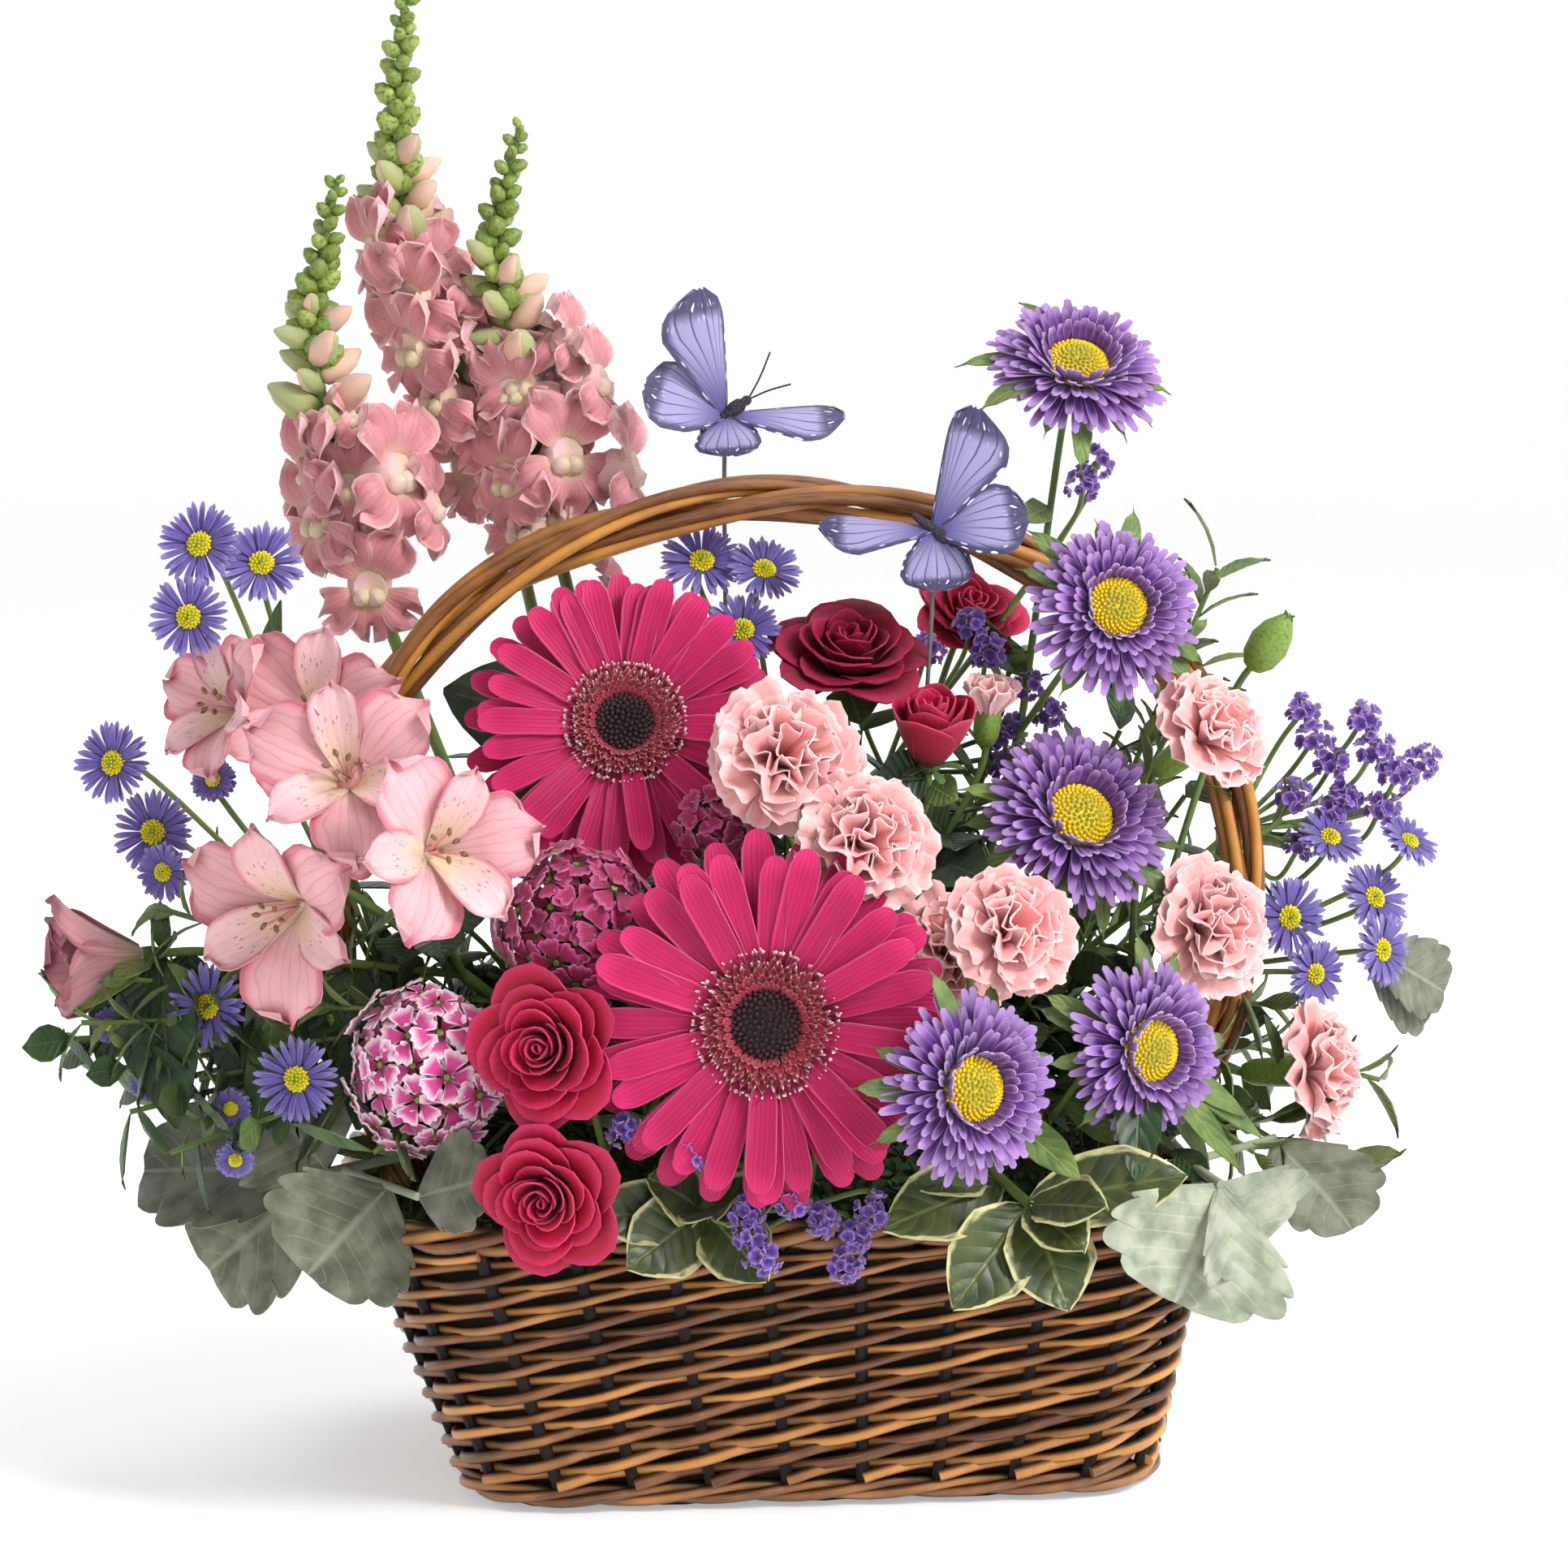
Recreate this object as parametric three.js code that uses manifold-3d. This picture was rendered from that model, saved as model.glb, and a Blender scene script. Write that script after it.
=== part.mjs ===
// A willow basket of cut flowers: a woven basket with a twisted handle holds a plastic liner and a
// block of floral foam, and every stem stands in its own hole in the foam.
// Millimetres, +Z up, the front towards -Y. The origin is the middle of the basket's foot, on the table.
import * as THREE from "three";
import { mergeVertices } from "three/addons/utils/BufferGeometryUtils.js";
import Module from "manifold-3d";

const wasm = await Module();
wasm.setup();

const V = (x, y, z) => new THREE.Vector3(x, y, z);
const turn = THREE.MathUtils.degToRad;
const mix = THREE.MathUtils.lerp;
const goldenAngle = Math.PI * (3 - Math.sqrt(5));

// ---------------------------------------------------------------- driving sizes
const clear = 0.35; // the gap between neighbouring pieces
const blade = 0.8; // thickness of petals and leaves
const finest = 0.15; // smaller steps in a surface are left out

const basket = {
  height: 88, // to the top of the woven wall
  foot: { x: 105, y: 65, corner: 30 }, // half sizes on the table
  mouth: { x: 130, y: 88, corner: 42 }, // half sizes at the rim
  lean: -8.5, // the hand-woven mouth sits this far to one side of the foot
  wall: 6,
  floor: 5,
  stakes: 28,
  low: 9, // the first row of strokes
  climb: 4, // from one row to the next, and of a weaver from stake to stake
  rows: 19,
  relief: 2.4, // how far a weaver stands out in front of a stake
  hollow: 1.2, // how deep the wall lies between two strokes, beside the stake
  between: 0.3, // how deep it lies half way from stake to stake, where the weavers cross
  wale: 1.6, // how far the roped rows at the foot and the plaited rim stand out
  rim: 5,
};
const liner = { foot: { x: 68, y: 48 }, mouth: { x: 93, y: 70 }, corner: 20, low: 5.35, high: 82, wall: 1.6 };
const foam = { shoulder: 97, top: 112, bevel: 16, sink: 22 };
const handle = {
  rods: 3,
  radius: 3.5,
  spread: 4.6, // from the middle of the bundle to the middle of a rod
  turns: 3.5,
  left: [[-85, 9], [-104, 50], [-122, 90], [-141, 140], [-144, 185], [-134, 228], [-107, 263], [-62, 289]],
  right: [[84, 9], [97, 50], [107, 90], [134, 140], [138, 185], [128, 228], [97, 263], [50, 289]],
  crown: [-6, 299],
};

// The camera of the photograph, so that a bloom's place can be read off it in pixels.
const view = { distance: 1700, azimuth: -6, elevation: 8, target: V(-4.8, 0, 211), middle: 966, scale: 0.25 };

const colours = {
  willow: "#96552a", handle: "#a9713f", liner: "#3a4a34", foam: "#4c6b45", stem: "#55702f",
  hotPink: "#de2a70", crimson: "#8a2436", cerise: "#cc2a5e", palePink: "#eeb6b4", purple: "#9a6ab0",
  pink: "#de9fb0", snap: "#d3808f", lavender: "#7d6cb4", violet: "#6a3f8c", magenta: "#b8326f",
  william: "#d977a8", felt: "#aeb69c", gloss: "#5a6a38", wing: "#8f87c0",
};

// ---------------------------------------------------------------- helpers
// The direction that something faces: azimuth 0 is the front, positive to the right.
function direction([azimuth, elevation]) {
  const level = Math.cos(turn(elevation));
  return V(Math.sin(turn(azimuth)) * level, -Math.cos(turn(azimuth)) * level, Math.sin(turn(elevation)));
}

// The point on the photograph's pixel (u, v) that lies at the depth y.
function atPixel([u, v], y) {
  const back = direction([view.azimuth, view.elevation]);
  const right = V(Math.cos(turn(view.azimuth)), Math.sin(turn(view.azimuth)), 0);
  const up = back.clone().cross(right);
  const eye = view.target.clone().addScaledVector(back, view.distance);
  const ray = back.clone().multiplyScalar(-view.distance);
  ray.addScaledVector(right, (u - view.middle) * view.scale);
  ray.addScaledVector(up, (view.middle - v) * view.scale);
  return eye.addScaledVector(ray, (y - eye.y) / ray.y);
}

// Moves a shape made along +Z so that it stands at base and points along facing.
function stand(shape, base, facing, roll = 0) {
  const spin = new THREE.Quaternion().setFromAxisAngle(V(0, 0, 1), roll);
  const aim = new THREE.Quaternion().setFromUnitVectors(V(0, 0, 1), facing.clone().normalize());
  const matrix = new THREE.Matrix4().compose(base, aim.multiply(spin), V(1, 1, 1));
  return shape.transform(matrix.elements);
}

function solid(geometry) {
  const bare = geometry.index ? geometry.toNonIndexed() : geometry;
  const only = new THREE.BufferGeometry().setAttribute("position", bare.getAttribute("position"));
  const merged = mergeVertices(only, 1e-4);
  const vertProperties = merged.attributes.position.array;
  const triVerts = new Uint32Array(merged.index.array);
  return new wasm.Manifold(new wasm.Mesh({ numProp: 3, vertProperties, triVerts }));
}

const join = (shapes) => shapes.reduce((all, shape) => all.add(shape));
const skin = (corners) => solid(new THREE.BufferGeometry().setFromPoints(corners));

// A thin solid round a patch of triangles, half of its thickness on each side.
function sheet(points, faces, thickness = blade) {
  const normals = points.map(() => V(0, 0, 0));
  const rim = new Map();
  for (const [a, b, c] of faces) {
    const normal = points[b].clone().sub(points[a]).cross(points[c].clone().sub(points[a]));
    for (const k of [a, b, c]) normals[k].add(normal);
    for (const [from, to] of [[a, b], [b, c], [c, a]]) {
      if (!rim.delete(`${to} ${from}`)) rim.set(`${from} ${to}`, [from, to]);
    }
  }
  for (const normal of normals) normal.normalize().multiplyScalar(thickness / 2);
  const over = (k) => points[k].clone().add(normals[k]);
  const under = (k) => points[k].clone().sub(normals[k]);
  const corners = [];
  for (const [a, b, c] of faces) corners.push(over(a), over(b), over(c), under(c), under(b), under(a));
  for (const [a, b] of rim.values()) corners.push(over(b), over(a), under(a), over(b), under(a), under(b));
  return skin(corners);
}

// A closed skin over rings of equal count, with a fan to a point at each end.
function loft(rings, start, end) {
  const corners = [];
  const last = rings[rings.length - 1];
  rings[0].forEach((_, i) => {
    const j = (i + 1) % last.length;
    corners.push(start, rings[0][j], rings[0][i], end, last[i], last[j]);
    for (let k = 0; k + 1 < rings.length; k++) {
      const [a, b, c, d] = [rings[k][i], rings[k][j], rings[k + 1][j], rings[k + 1][i]];
      corners.push(a, b, c, a, c, d);
    }
  });
  return skin(corners);
}

// A round rod along a curve.
function tube(curve, radius, sides = 4, steps = 6) {
  const section = new THREE.Shape();
  for (let k = 0; k < sides; k++) {
    const a = (2 * Math.PI * k) / sides;
    if (k) section.lineTo(radius * Math.cos(a), radius * Math.sin(a));
    else section.moveTo(radius, 0);
  }
  return solid(new THREE.ExtrudeGeometry(section, { extrudePath: curve, steps, bevelEnabled: false }));
}

const through = (points) => new THREE.CatmullRomCurve3(points, false, "centripetal");

// The nearest point to a place on a rod that was made along a curve in this many steps.
function nearestOn(curve, steps, place) {
  const corners = curve.getSpacedPoints(steps);
  const found = corners.slice(1).map((end, k) =>
    new THREE.Line3(corners[k], end).closestPointToPoint(place, true, V(0, 0, 0)));
  return found.reduce((best, point) => (point.distanceTo(place) < best.distanceTo(place) ? point : best));
}

// A ring of petals in one thin piece, cut apart from the notches outwards.
// profile(s) gives [radius, height] from the middle (s = 0) to the petal's tip (s = 1).
function whorl({ petals, notch, shoulder, width, tip = 0, roll = 0, ruffle = 0, profile }) {
  const points = [V(0, 0, profile(0)[1])];
  const faces = [];
  const half = Math.PI / petals;
  const put = (angle, s, lift = 0) => {
    const [radius, height] = profile(s);
    return points.push(V(radius * Math.cos(angle), radius * Math.sin(angle), height + lift)) - 1;
  };
  const notches = Array.from({ length: petals }, (_, i) => put(roll + (2 * i - 1) * half, notch));
  for (let i = 0; i < petals; i++) {
    const middle = roll + 2 * i * half;
    const lift = ruffle * (i % 2 ? 1 : -1);
    const edge = [notches[i]];
    if (shoulder) edge.push(put(middle - half * width, shoulder, lift / 2));
    edge.push(put(middle - half * tip, 1, lift));
    if (tip) edge.push(put(middle + half * tip, 1, lift));
    if (shoulder) edge.push(put(middle + half * width, shoulder, lift / 2));
    edge.push(notches[(i + 1) % petals]);
    faces.push([0, edge[0], edge[edge.length - 1]]);
    for (let low = 0, high = edge.length - 1; low + 1 < high; high--) {
      faces.push([edge[low], edge[low + 1], edge[high]]);
      low++;
      if (low + 1 < high) faces.push([edge[low], edge[high - 1], edge[high]]);
    }
  }
  return sheet(points, faces);
}

// A leaf, tepal or wing from base to tip, folded along its rib. Each row is [along, left, right] in
// shares of its length and half width.
function leaf(base, tip, face, width, rows, fold = 0.25) {
  const along = tip.clone().sub(base);
  const normal = face.clone().addScaledVector(along, -face.dot(along) / along.lengthSq()).normalize();
  const across = along.clone().cross(normal).normalize();
  const at = (share, out) => base.clone().addScaledVector(along, share)
    .addScaledVector(across, (out * width) / 2).addScaledVector(normal, (Math.abs(out) * width * fold) / 2);
  const points = [base.clone()];
  const faces = [];
  rows.forEach(([share, left, right], k) => {
    points.push(at(share, -left), at(share, 0), at(share, right));
    const [l, m, r] = [3 * k + 1, 3 * k + 2, 3 * k + 3];
    if (k) faces.push([m - 3, r - 3, r], [m - 3, r, m], [l - 3, m - 3, m], [l - 3, m, l]);
    else faces.push([0, r, m], [0, m, l]);
  });
  const end = points.push(tip.clone()) - 1;
  faces.push([end - 2, end - 1, end], [end - 3, end - 2, end]);
  return sheet(points, faces);
}

const outlines = {
  plain: [[0.42, 1, 1]],
  broad: [[0.3, 0.85, 0.85], [0.68, 1, 1]],
  lobed: [[0.3, 0.9, 0.4], [0.46, 0.35, 1], [0.72, 1, 0.5]],
  frontWing: [[0.35, 0.35, 0.6], [0.85, 0.75, 1]],
  backWing: [[0.4, 0.8, 0.9], [0.8, 0.9, 0.7]],
};

const ball = (radius, sides = 6, rows = 4) => solid(new THREE.SphereGeometry(radius, sides, rows));

// A turned piece from [radius, height] pairs, first and last on the axis.
const turned = (pairs, sides = 6) =>
  solid(new THREE.LatheGeometry(pairs.map(([r, z]) => new THREE.Vector2(r, z)), sides).rotateX(Math.PI / 2));

// ---------------------------------------------------------------- the container
// Points evenly round a rounded rectangle, each pushed out by push(k), at the height lift(k).
function ring({ x, y, corner }, count, shift, push, lift) {
  const shape = new THREE.Shape();
  shape.absarc(x - corner, y - corner, corner, 0, Math.PI / 2);
  shape.absarc(corner - x, y - corner, corner, Math.PI / 2, Math.PI);
  shape.absarc(corner - x, corner - y, corner, Math.PI, 1.5 * Math.PI);
  shape.absarc(x - corner, corner - y, corner, 1.5 * Math.PI, 2 * Math.PI);
  const flat = shape.closePath().getSpacedPoints(count).slice(0, count);
  return flat.map((point, k) => {
    const along = flat[(k + 1) % count].clone().sub(flat[(k + count - 1) % count]).normalize();
    return V(point.x + along.y * push(k) + shift, point.y - along.x * push(k), lift(k));
  });
}

const between = (low, high, share) => ({
  x: mix(low.x, high.x, share),
  y: mix(low.y, high.y, share),
  corner: mix(low.corner ?? liner.corner, high.corner ?? liner.corner, share),
});

// The wall's points on upright lines, at each stake and half way between: from the foot up the outside,
// over the rim and down inside. Every point also keeps how far along its line it comes.
function basketColumns() {
  const { height, foot, mouth, lean, wall, floor, stakes, low, climb, rows, wale, rim } = basket;
  const columns = Array.from({ length: 2 * stakes }, () => []);
  const put = (way, z, push, chosen = () => true, lift = () => z) => {
    const share = Math.min(z, height) / height;
    const level = ring(between(foot, mouth, share), columns.length, lean * share, push, lift);
    level.forEach((point, k) => chosen(k) && columns[k].push({ way, point }));
  };
  const twist = (k) => Math.floor(k / 2) % 2; // the ropes' turns
  const onStake = (k) => k % 2 === 0;
  put(0, 0, () => -1);
  put(4, 4, (k) => wale - twist(k));
  for (let row = 0; row < rows; row++) {
    const z = low + climb * row;
    put(z, z, () => (row % 2 ? -basket.hollow : basket.relief), onStake);
    if (row % 6 === 0) put(z, z, () => -basket.between, (k) => !onStake(k));
  }
  put(height, height, (k) => wale - twist(k));
  const top = height + rim;
  put(top, top, () => -1, onStake, (k) => top - 1 + twist(k));
  put(top, top, () => -1, (k) => !onStake(k), () => top);
  put(top + wall, height + 1, () => -wall);
  put(2 * top, floor + 6, () => -wall);
  put(2 * top + wall, floor, () => -wall - 4);
  return columns;
}

// A closed skin over those lines, with a fan to the middle of the floor at both ends.
function wovenBasket() {
  const columns = basketColumns();
  const corners = [];
  columns.forEach((here, k) => {
    const next = columns[(k + 1) % columns.length];
    corners.push(V(0, 0, 0), next[0].point, here[0].point);
    corners.push(V(0, 0, basket.floor), here[here.length - 1].point, next[next.length - 1].point);
    for (let i = 0, j = 0; i + 1 < here.length || j + 1 < next.length;) {
      const climbs = j + 1 === next.length || (i + 1 < here.length && here[i + 1].way <= next[j + 1].way);
      corners.push(here[i].point, next[j].point, climbs ? here[++i].point : next[++j].point);
    }
  });
  return skin(corners);
}

function linerShell() {
  const { low, high, wall } = liner;
  const at = (z, push) => {
    const share = z / high;
    return ring(between(liner.foot, liner.mouth, share), 20, basket.lean * share, () => push, () => z);
  };
  const rings = [at(low, 0), at(high, 0), at(high, -wall), at(low + wall, -wall)];
  return loft(rings, V(0, 0, low), V(0, 0, low + wall));
}

function foamBlock() {
  const inset = liner.wall + clear;
  const at = (share, push, z) =>
    ring(between(liner.foot, liner.mouth, share), 20, basket.lean * share, () => push, () => z);
  const low = liner.low + liner.wall + clear;
  const rings = [at(low / liner.high, -inset, low), at(1, -inset, liner.high), at(1, -inset, foam.shoulder)];
  rings.push(at(1, -inset - foam.bevel, foam.top));
  return loft(rings, V(0, 0, low), V(basket.lean, 0, foam.top));
}

class TwistedRod extends THREE.Curve {
  constructor(phase) {
    super();
    this.phase = phase;
    const side = (points) => points.map(([x, z]) => V(x, 0, z));
    this.middle = through([...side(handle.left), ...side([handle.crown]), ...side(handle.right).reverse()]);
  }
  getPoint(t, target = V(0, 0, 0)) {
    const along = this.middle.getTangentAt(t);
    const a = this.phase + 2 * Math.PI * handle.turns * t;
    const out = V(-along.z, 0, along.x).multiplyScalar(handle.spread * Math.cos(a));
    return target.copy(this.middle.getPointAt(t)).add(out).add(V(0, handle.spread * Math.sin(a), 0));
  }
}

// ---------------------------------------------------------------- flower heads
// Each head stands on z = 0 and looks along +Z; its stem's green top ends a little below.
const flare = (radius, low, high, bend = 1) => (s) => [radius * s, mix(low, high, s ** bend)];

function gerberaPetals(radius) {
  const shape = { petals: 17, notch: 0.36, tip: 0.55, ruffle: 0.5 };
  const lower = whorl({ ...shape, profile: flare(radius, 1, 5, 1.5) });
  const half = Math.PI / shape.petals;
  const profile = flare(radius * 0.92, 3, 9, 1.3);
  const upper = whorl({ ...shape, shoulder: 0.72, width: 0.86, roll: half, profile });
  return join([lower, upper, turned([[0, 0], [7, 0], [7, 3.2], [0, 3.2]], 5)]);
}

function gerberaEye(radius) {
  const fringe = whorl({ petals: 12, notch: 0.66, profile: flare(radius * 0.44, 5.6, 8.4, 2) });
  return join([fringe, turned([[0, 5], [10, 5], [10, 8.6], [0, 9.4]], 8)]);
}

function rose(radius, open = 1) {
  const cup = (share, low, height, bend, roll) => whorl({
    petals: 5, notch: 0.3, tip: 0.66, roll,
    profile: (s) => [radius * share * s, low + height * radius * s ** bend],
  });
  const r = radius;
  const bud = turned([[0, 0], [0.26 * r, 0.55 * r], [0.1 * r, 0.86 * r], [0, 0.8 * r]], 5);
  if (open < 1) return join([cup(0.62, 1, 0.7, 1.5, 0.3), bud]);
  return join([cup(1, 1, 0.28, 1, 0.9), cup(0.66, 2.4, 0.56, 1.3, 0.3), bud]);
}

function carnation(radius) {
  const shape = { notch: 0.55, tip: 0.62, ruffle: 1.6 };
  const frill = (petals, share, low, high, roll) =>
    whorl({ ...shape, petals, roll, profile: flare(radius * share, low, high, 1.6) });
  const middle = turned([[0, 0], [0.36 * radius, 15], [0.2 * radius, 17], [0, 15]], 4);
  return join([frill(10, 1, 7, 9, 0), frill(6, 0.74, 8.6, 14, 0.3), middle]);
}

function matsumoto(radius) {
  const rays = (petals, share, low, high, roll) =>
    whorl({ petals, notch: 0.58, tip: 0.42, roll, profile: flare(radius * share, low, high, 1.4) });
  const disc = turned([[0, 0], [0.34 * radius, 8], [0, 11]], 6);
  return join([rays(10, 1, 1.5, 6, 0), rays(7, 0.78, 3.6, 11, 0.2), disc]);
}

function alstroemeria(radius) {
  const profile = (s) => [radius * s, 1 + 0.66 * radius * Math.min(1, s / 0.8) ** 0.7];
  const shape = { petals: 6, notch: 0.26, shoulder: 0.72, width: 0.84, tip: 0.2, ruffle: 1.5 };
  const tepals = whorl({ ...shape, profile });
  return join([tepals, turned([[0, 0], [2, 0], [2.4, 9], [0, 10]], 4)]);
}

const daisy = (radius) =>
  whorl({ petals: 7, notch: 0.34, profile: (s) => [radius * s, s < 0.3 ? 2.4 : mix(0, 1.4, s)] });

function dome(radius, height, florets, floretRadius) {
  const parts = [turned([[0, 0], [radius * 0.66, height * 0.5], [0, height * 0.9]], 6)];
  for (let k = 0; k < florets; k++) {
    const polar = Math.acos(1 - (0.9 * (k + 0.5)) / florets);
    const around = k * goldenAngle;
    const facing = V(Math.sin(polar) * Math.cos(around), Math.sin(polar) * Math.sin(around), Math.cos(polar));
    const out = radius * 0.58;
    const base = V(facing.x * out, facing.y * out, height * (0.12 + 0.7 * Math.cos(polar)));
    const floret = whorl({ petals: 5, notch: 0.5, profile: (s) => [floretRadius * s, s < 0.4 ? -3 : 2 * s] });
    parts.push(stand(floret, base, facing, k));
  }
  return join(parts);
}

// Green tops below the heads.
const calyx = (top, length) =>
  turned([[0, -length], [top * 0.8, -length * 0.6], [top, -clear], [0, -clear]], 4);
const sepals = (radius, count, drop = -2) =>
  whorl({ petals: count, notch: 0.4, profile: (s) => [radius * s, s < 0.3 ? -8 : mix(-1, drop, s)] });

// What a head is made of: its petals, the green below them, and how deep its middle sits above z = 0.
const kinds = {
  gerbera: (r) => ({ petals: gerberaPetals(r), eye: gerberaEye(r), green: calyx(9, 9), deep: 6 }),
  rose: (r) => ({ petals: rose(r), green: sepals(r * 0.6, 4, -3), deep: 0.6 * r, tail: 0.4 }),
  roseBud: (r) => ({ petals: rose(r, 0.7), green: sepals(r * 0.6, 4, -3), deep: 0.7 * r, tail: 0.4 }),
  carnation: (r) => ({ petals: carnation(r), green: calyx(4.6, 17), deep: 12 }),
  aster: (r) => ({ petals: matsumoto(r), green: sepals(r * 0.8, 5, -4), deep: 8, tail: 0.4 }),
  alstroemeria: (r) => ({ petals: alstroemeria(r), green: calyx(2.6, 7), deep: 0.45 * r }),
  william: (r) => ({ green: dome(r, r * 0.55, Math.round(r * 0.28), 9.5), deep: 0.45 * r, tail: -1 }),
  bud: (r) => ({ green: turned([[0, -1.5 * r], [0.8 * r, -r], [r, 0.4 * r], [0, 2 * r]], 5), deep: 0 }),
  daisy: (r) => ({ green: daisy(r), deep: 2, tail: -2.3 }),
  tuft: (r) => ({ green: turned([[0, -0.6], [r / 2, 0.6 * r], [0, 0.4 * r]], 4), deep: 1, tail: -0.8 }),
};

// ---------------------------------------------------------------- stems
// Where a stem goes into the foam's top, and the line it follows inside.
function footing([x, y]) {
  const reach = (side) => side - liner.wall - clear - foam.bevel;
  const { mouth } = liner;
  const past = Math.max(0, Math.abs(x - basket.lean) - reach(mouth.x), Math.abs(y) - reach(mouth.y));
  const surface = V(x, y, foam.top - (past * (foam.top - foam.shoulder)) / foam.bevel);
  const lead = surface.clone().sub(V(x * 0.6, y * 0.6, 10)).normalize();
  return { surface, lead };
}

const holes = [];

// The straight part of a stem that stands in the foam, and the curve that goes on from it.
function rooted([x, y], rise, onward, radius) {
  const { surface, lead } = footing([x, y]);
  const along = (way) => surface.clone().addScaledVector(lead, way);
  const peg = (from, size) => tube(new THREE.LineCurve3(along(from), along(6)), size, 3, 1);
  holes.push(peg(-foam.sink - clear, radius + clear));
  const curve = through([along(5), along(5 + rise), ...onward]);
  return { curve, tail: peg(-foam.sink, radius) };
}

// A cut stem with its heads and leaves. Every head is [kind, diameter, pixel, depth, facing, own node].
function plant(name, spec) {
  const { foot, rise = 10, radius = 1.6, fork, via = [], twigs = [], heads = [], leaves = [] } = spec;
  const built = heads.map(([kind, diameter, pixel, depth, faces, node, tint, roll = 0]) => {
    const head = kinds[kind](diameter / 2);
    const facing = direction(faces);
    const base = atPixel(pixel, depth).addScaledVector(facing, -head.deep);
    return { ...head, facing, base, node, tint, roll, tail: head.tail ?? 4 };
  });
  const approach = ({ base, facing, tail }) =>
    [base.clone().addScaledVector(facing, -tail - 14), base.clone().addScaledVector(facing, -tail)];
  const stems = [];
  const greens = [];
  const grow = (curve, thickness, steps) => {
    stems.push({ curve, steps });
    greens.push(tube(curve, thickness, 3, steps));
  };
  const onward = [...via, fork].filter(Boolean).map((point) => V(...point));
  const { curve, tail } = rooted(foot, rise, fork ? onward : approach(built[0]), radius);
  grow(curve, radius, 4);
  greens.push(tail);
  if (fork) {
    greens.push(ball(radius * 1.5, 4, 2).translate(fork));
    for (const head of built) grow(through([V(...fork), ...approach(head)]), radius * 0.7, 3);
  }
  for (const twig of twigs) {
    const end = V(...twig);
    grow(through([nearestOn(curve, 4, end.clone().lerp(V(...fork), 0.5)), end]), radius * 0.8, 2);
  }
  for (const head of built) {
    const place = (shape) => stand(shape, head.base, head.facing, head.roll);
    greens.push(place(head.green));
    if (head.petals) add(`${head.node}_petals`, head.tint, place(head.petals));
    if (head.eye) add(`${head.node}_eye`, colours.crimson, place(head.eye));
  }
  for (const spec of leaves) greens.push(leafOn(stems, spec));
  add(name, spec.colour ?? colours.stem, join(greens));
}

// A leaf from the nearest point of the stems to a tip on the photograph.
function leafOn(stems, [shape, width, pixel, depth, faces, fold]) {
  const tip = atPixel(pixel, depth);
  const bases = stems.map(({ curve, steps }) => nearestOn(curve, steps, tip));
  const base = bases.reduce((best, point) => (point.distanceTo(tip) < best.distanceTo(tip) ? point : best));
  return leaf(base, tip, direction(faces), width, outlines[shape], fold);
}

const arrangement = new THREE.Group();

function add(name, colour, shape) {
  const { vertProperties, triVerts } = shape.simplify(finest).getMesh();
  const geometry = new THREE.BufferGeometry();
  geometry.setAttribute("position", new THREE.BufferAttribute(vertProperties, 3));
  geometry.setIndex(new THREE.BufferAttribute(triVerts, 1)).computeVertexNormals();
  const mesh = new THREE.Mesh(geometry, new THREE.MeshStandardMaterial({ color: colour, roughness: 0.8 }));
  mesh.name = name;
  arrangement.add(mesh);
}

// ---------------------------------------------------------------- the arrangement
add("basket", colours.willow, wovenBasket());
add("liner", colours.liner, linerShell());
for (let k = 0; k < handle.rods; k++) {
  const rod = new TwistedRod((2 * Math.PI * k) / handle.rods);
  add(`handle_rod_${k + 1}`, colours.handle, tube(rod, handle.radius, 4, 30));
}

plant("gerbera_back_stem", { foot: [-22, -20], radius: 2.2,
  heads: [["gerbera", 94, [770, 892], -46, [-4, 20], "gerbera_back", colours.hotPink]] });
plant("gerbera_front_stem", { foot: [-8, -50], radius: 2.2,
  heads: [["gerbera", 110, [944, 1262], -106, [-6, 8], "gerbera_front", colours.hotPink]] });

plant("back_rose_stems", { foot: [14, 2], fork: [24, -8, 180],
  heads: [
    ["rose", 44, [1048, 785], -20, [0, 60], "rose_1", colours.cerise],
    ["rose", 34, [1200, 742], 27, [20, 50], "rose_2", colours.cerise],
    ["roseBud", 28, [1148, 905], -44, [5, 70], "rose_3", colours.cerise],
  ],
  leaves: [["broad", 16, [1060, 890], -24, [0, 20]], ["plain", 12, [1275, 835], 8, [10, 30]]] });
plant("front_rose_stems", { foot: [-50, -50], fork: [-66, -72, 112],
  heads: [
    ["rose", 42, [665, 1293], -108, [-25, 8], "rose_4", colours.cerise],
    ["rose", 40, [668, 1483], -114, [-20, -5], "rose_5", colours.cerise],
  ],
  leaves: [["broad", 14, [590, 1440], -92, [-20, 20]], ["plain", 12, [745, 1440], -104, [-10, 20]]] });

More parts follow.
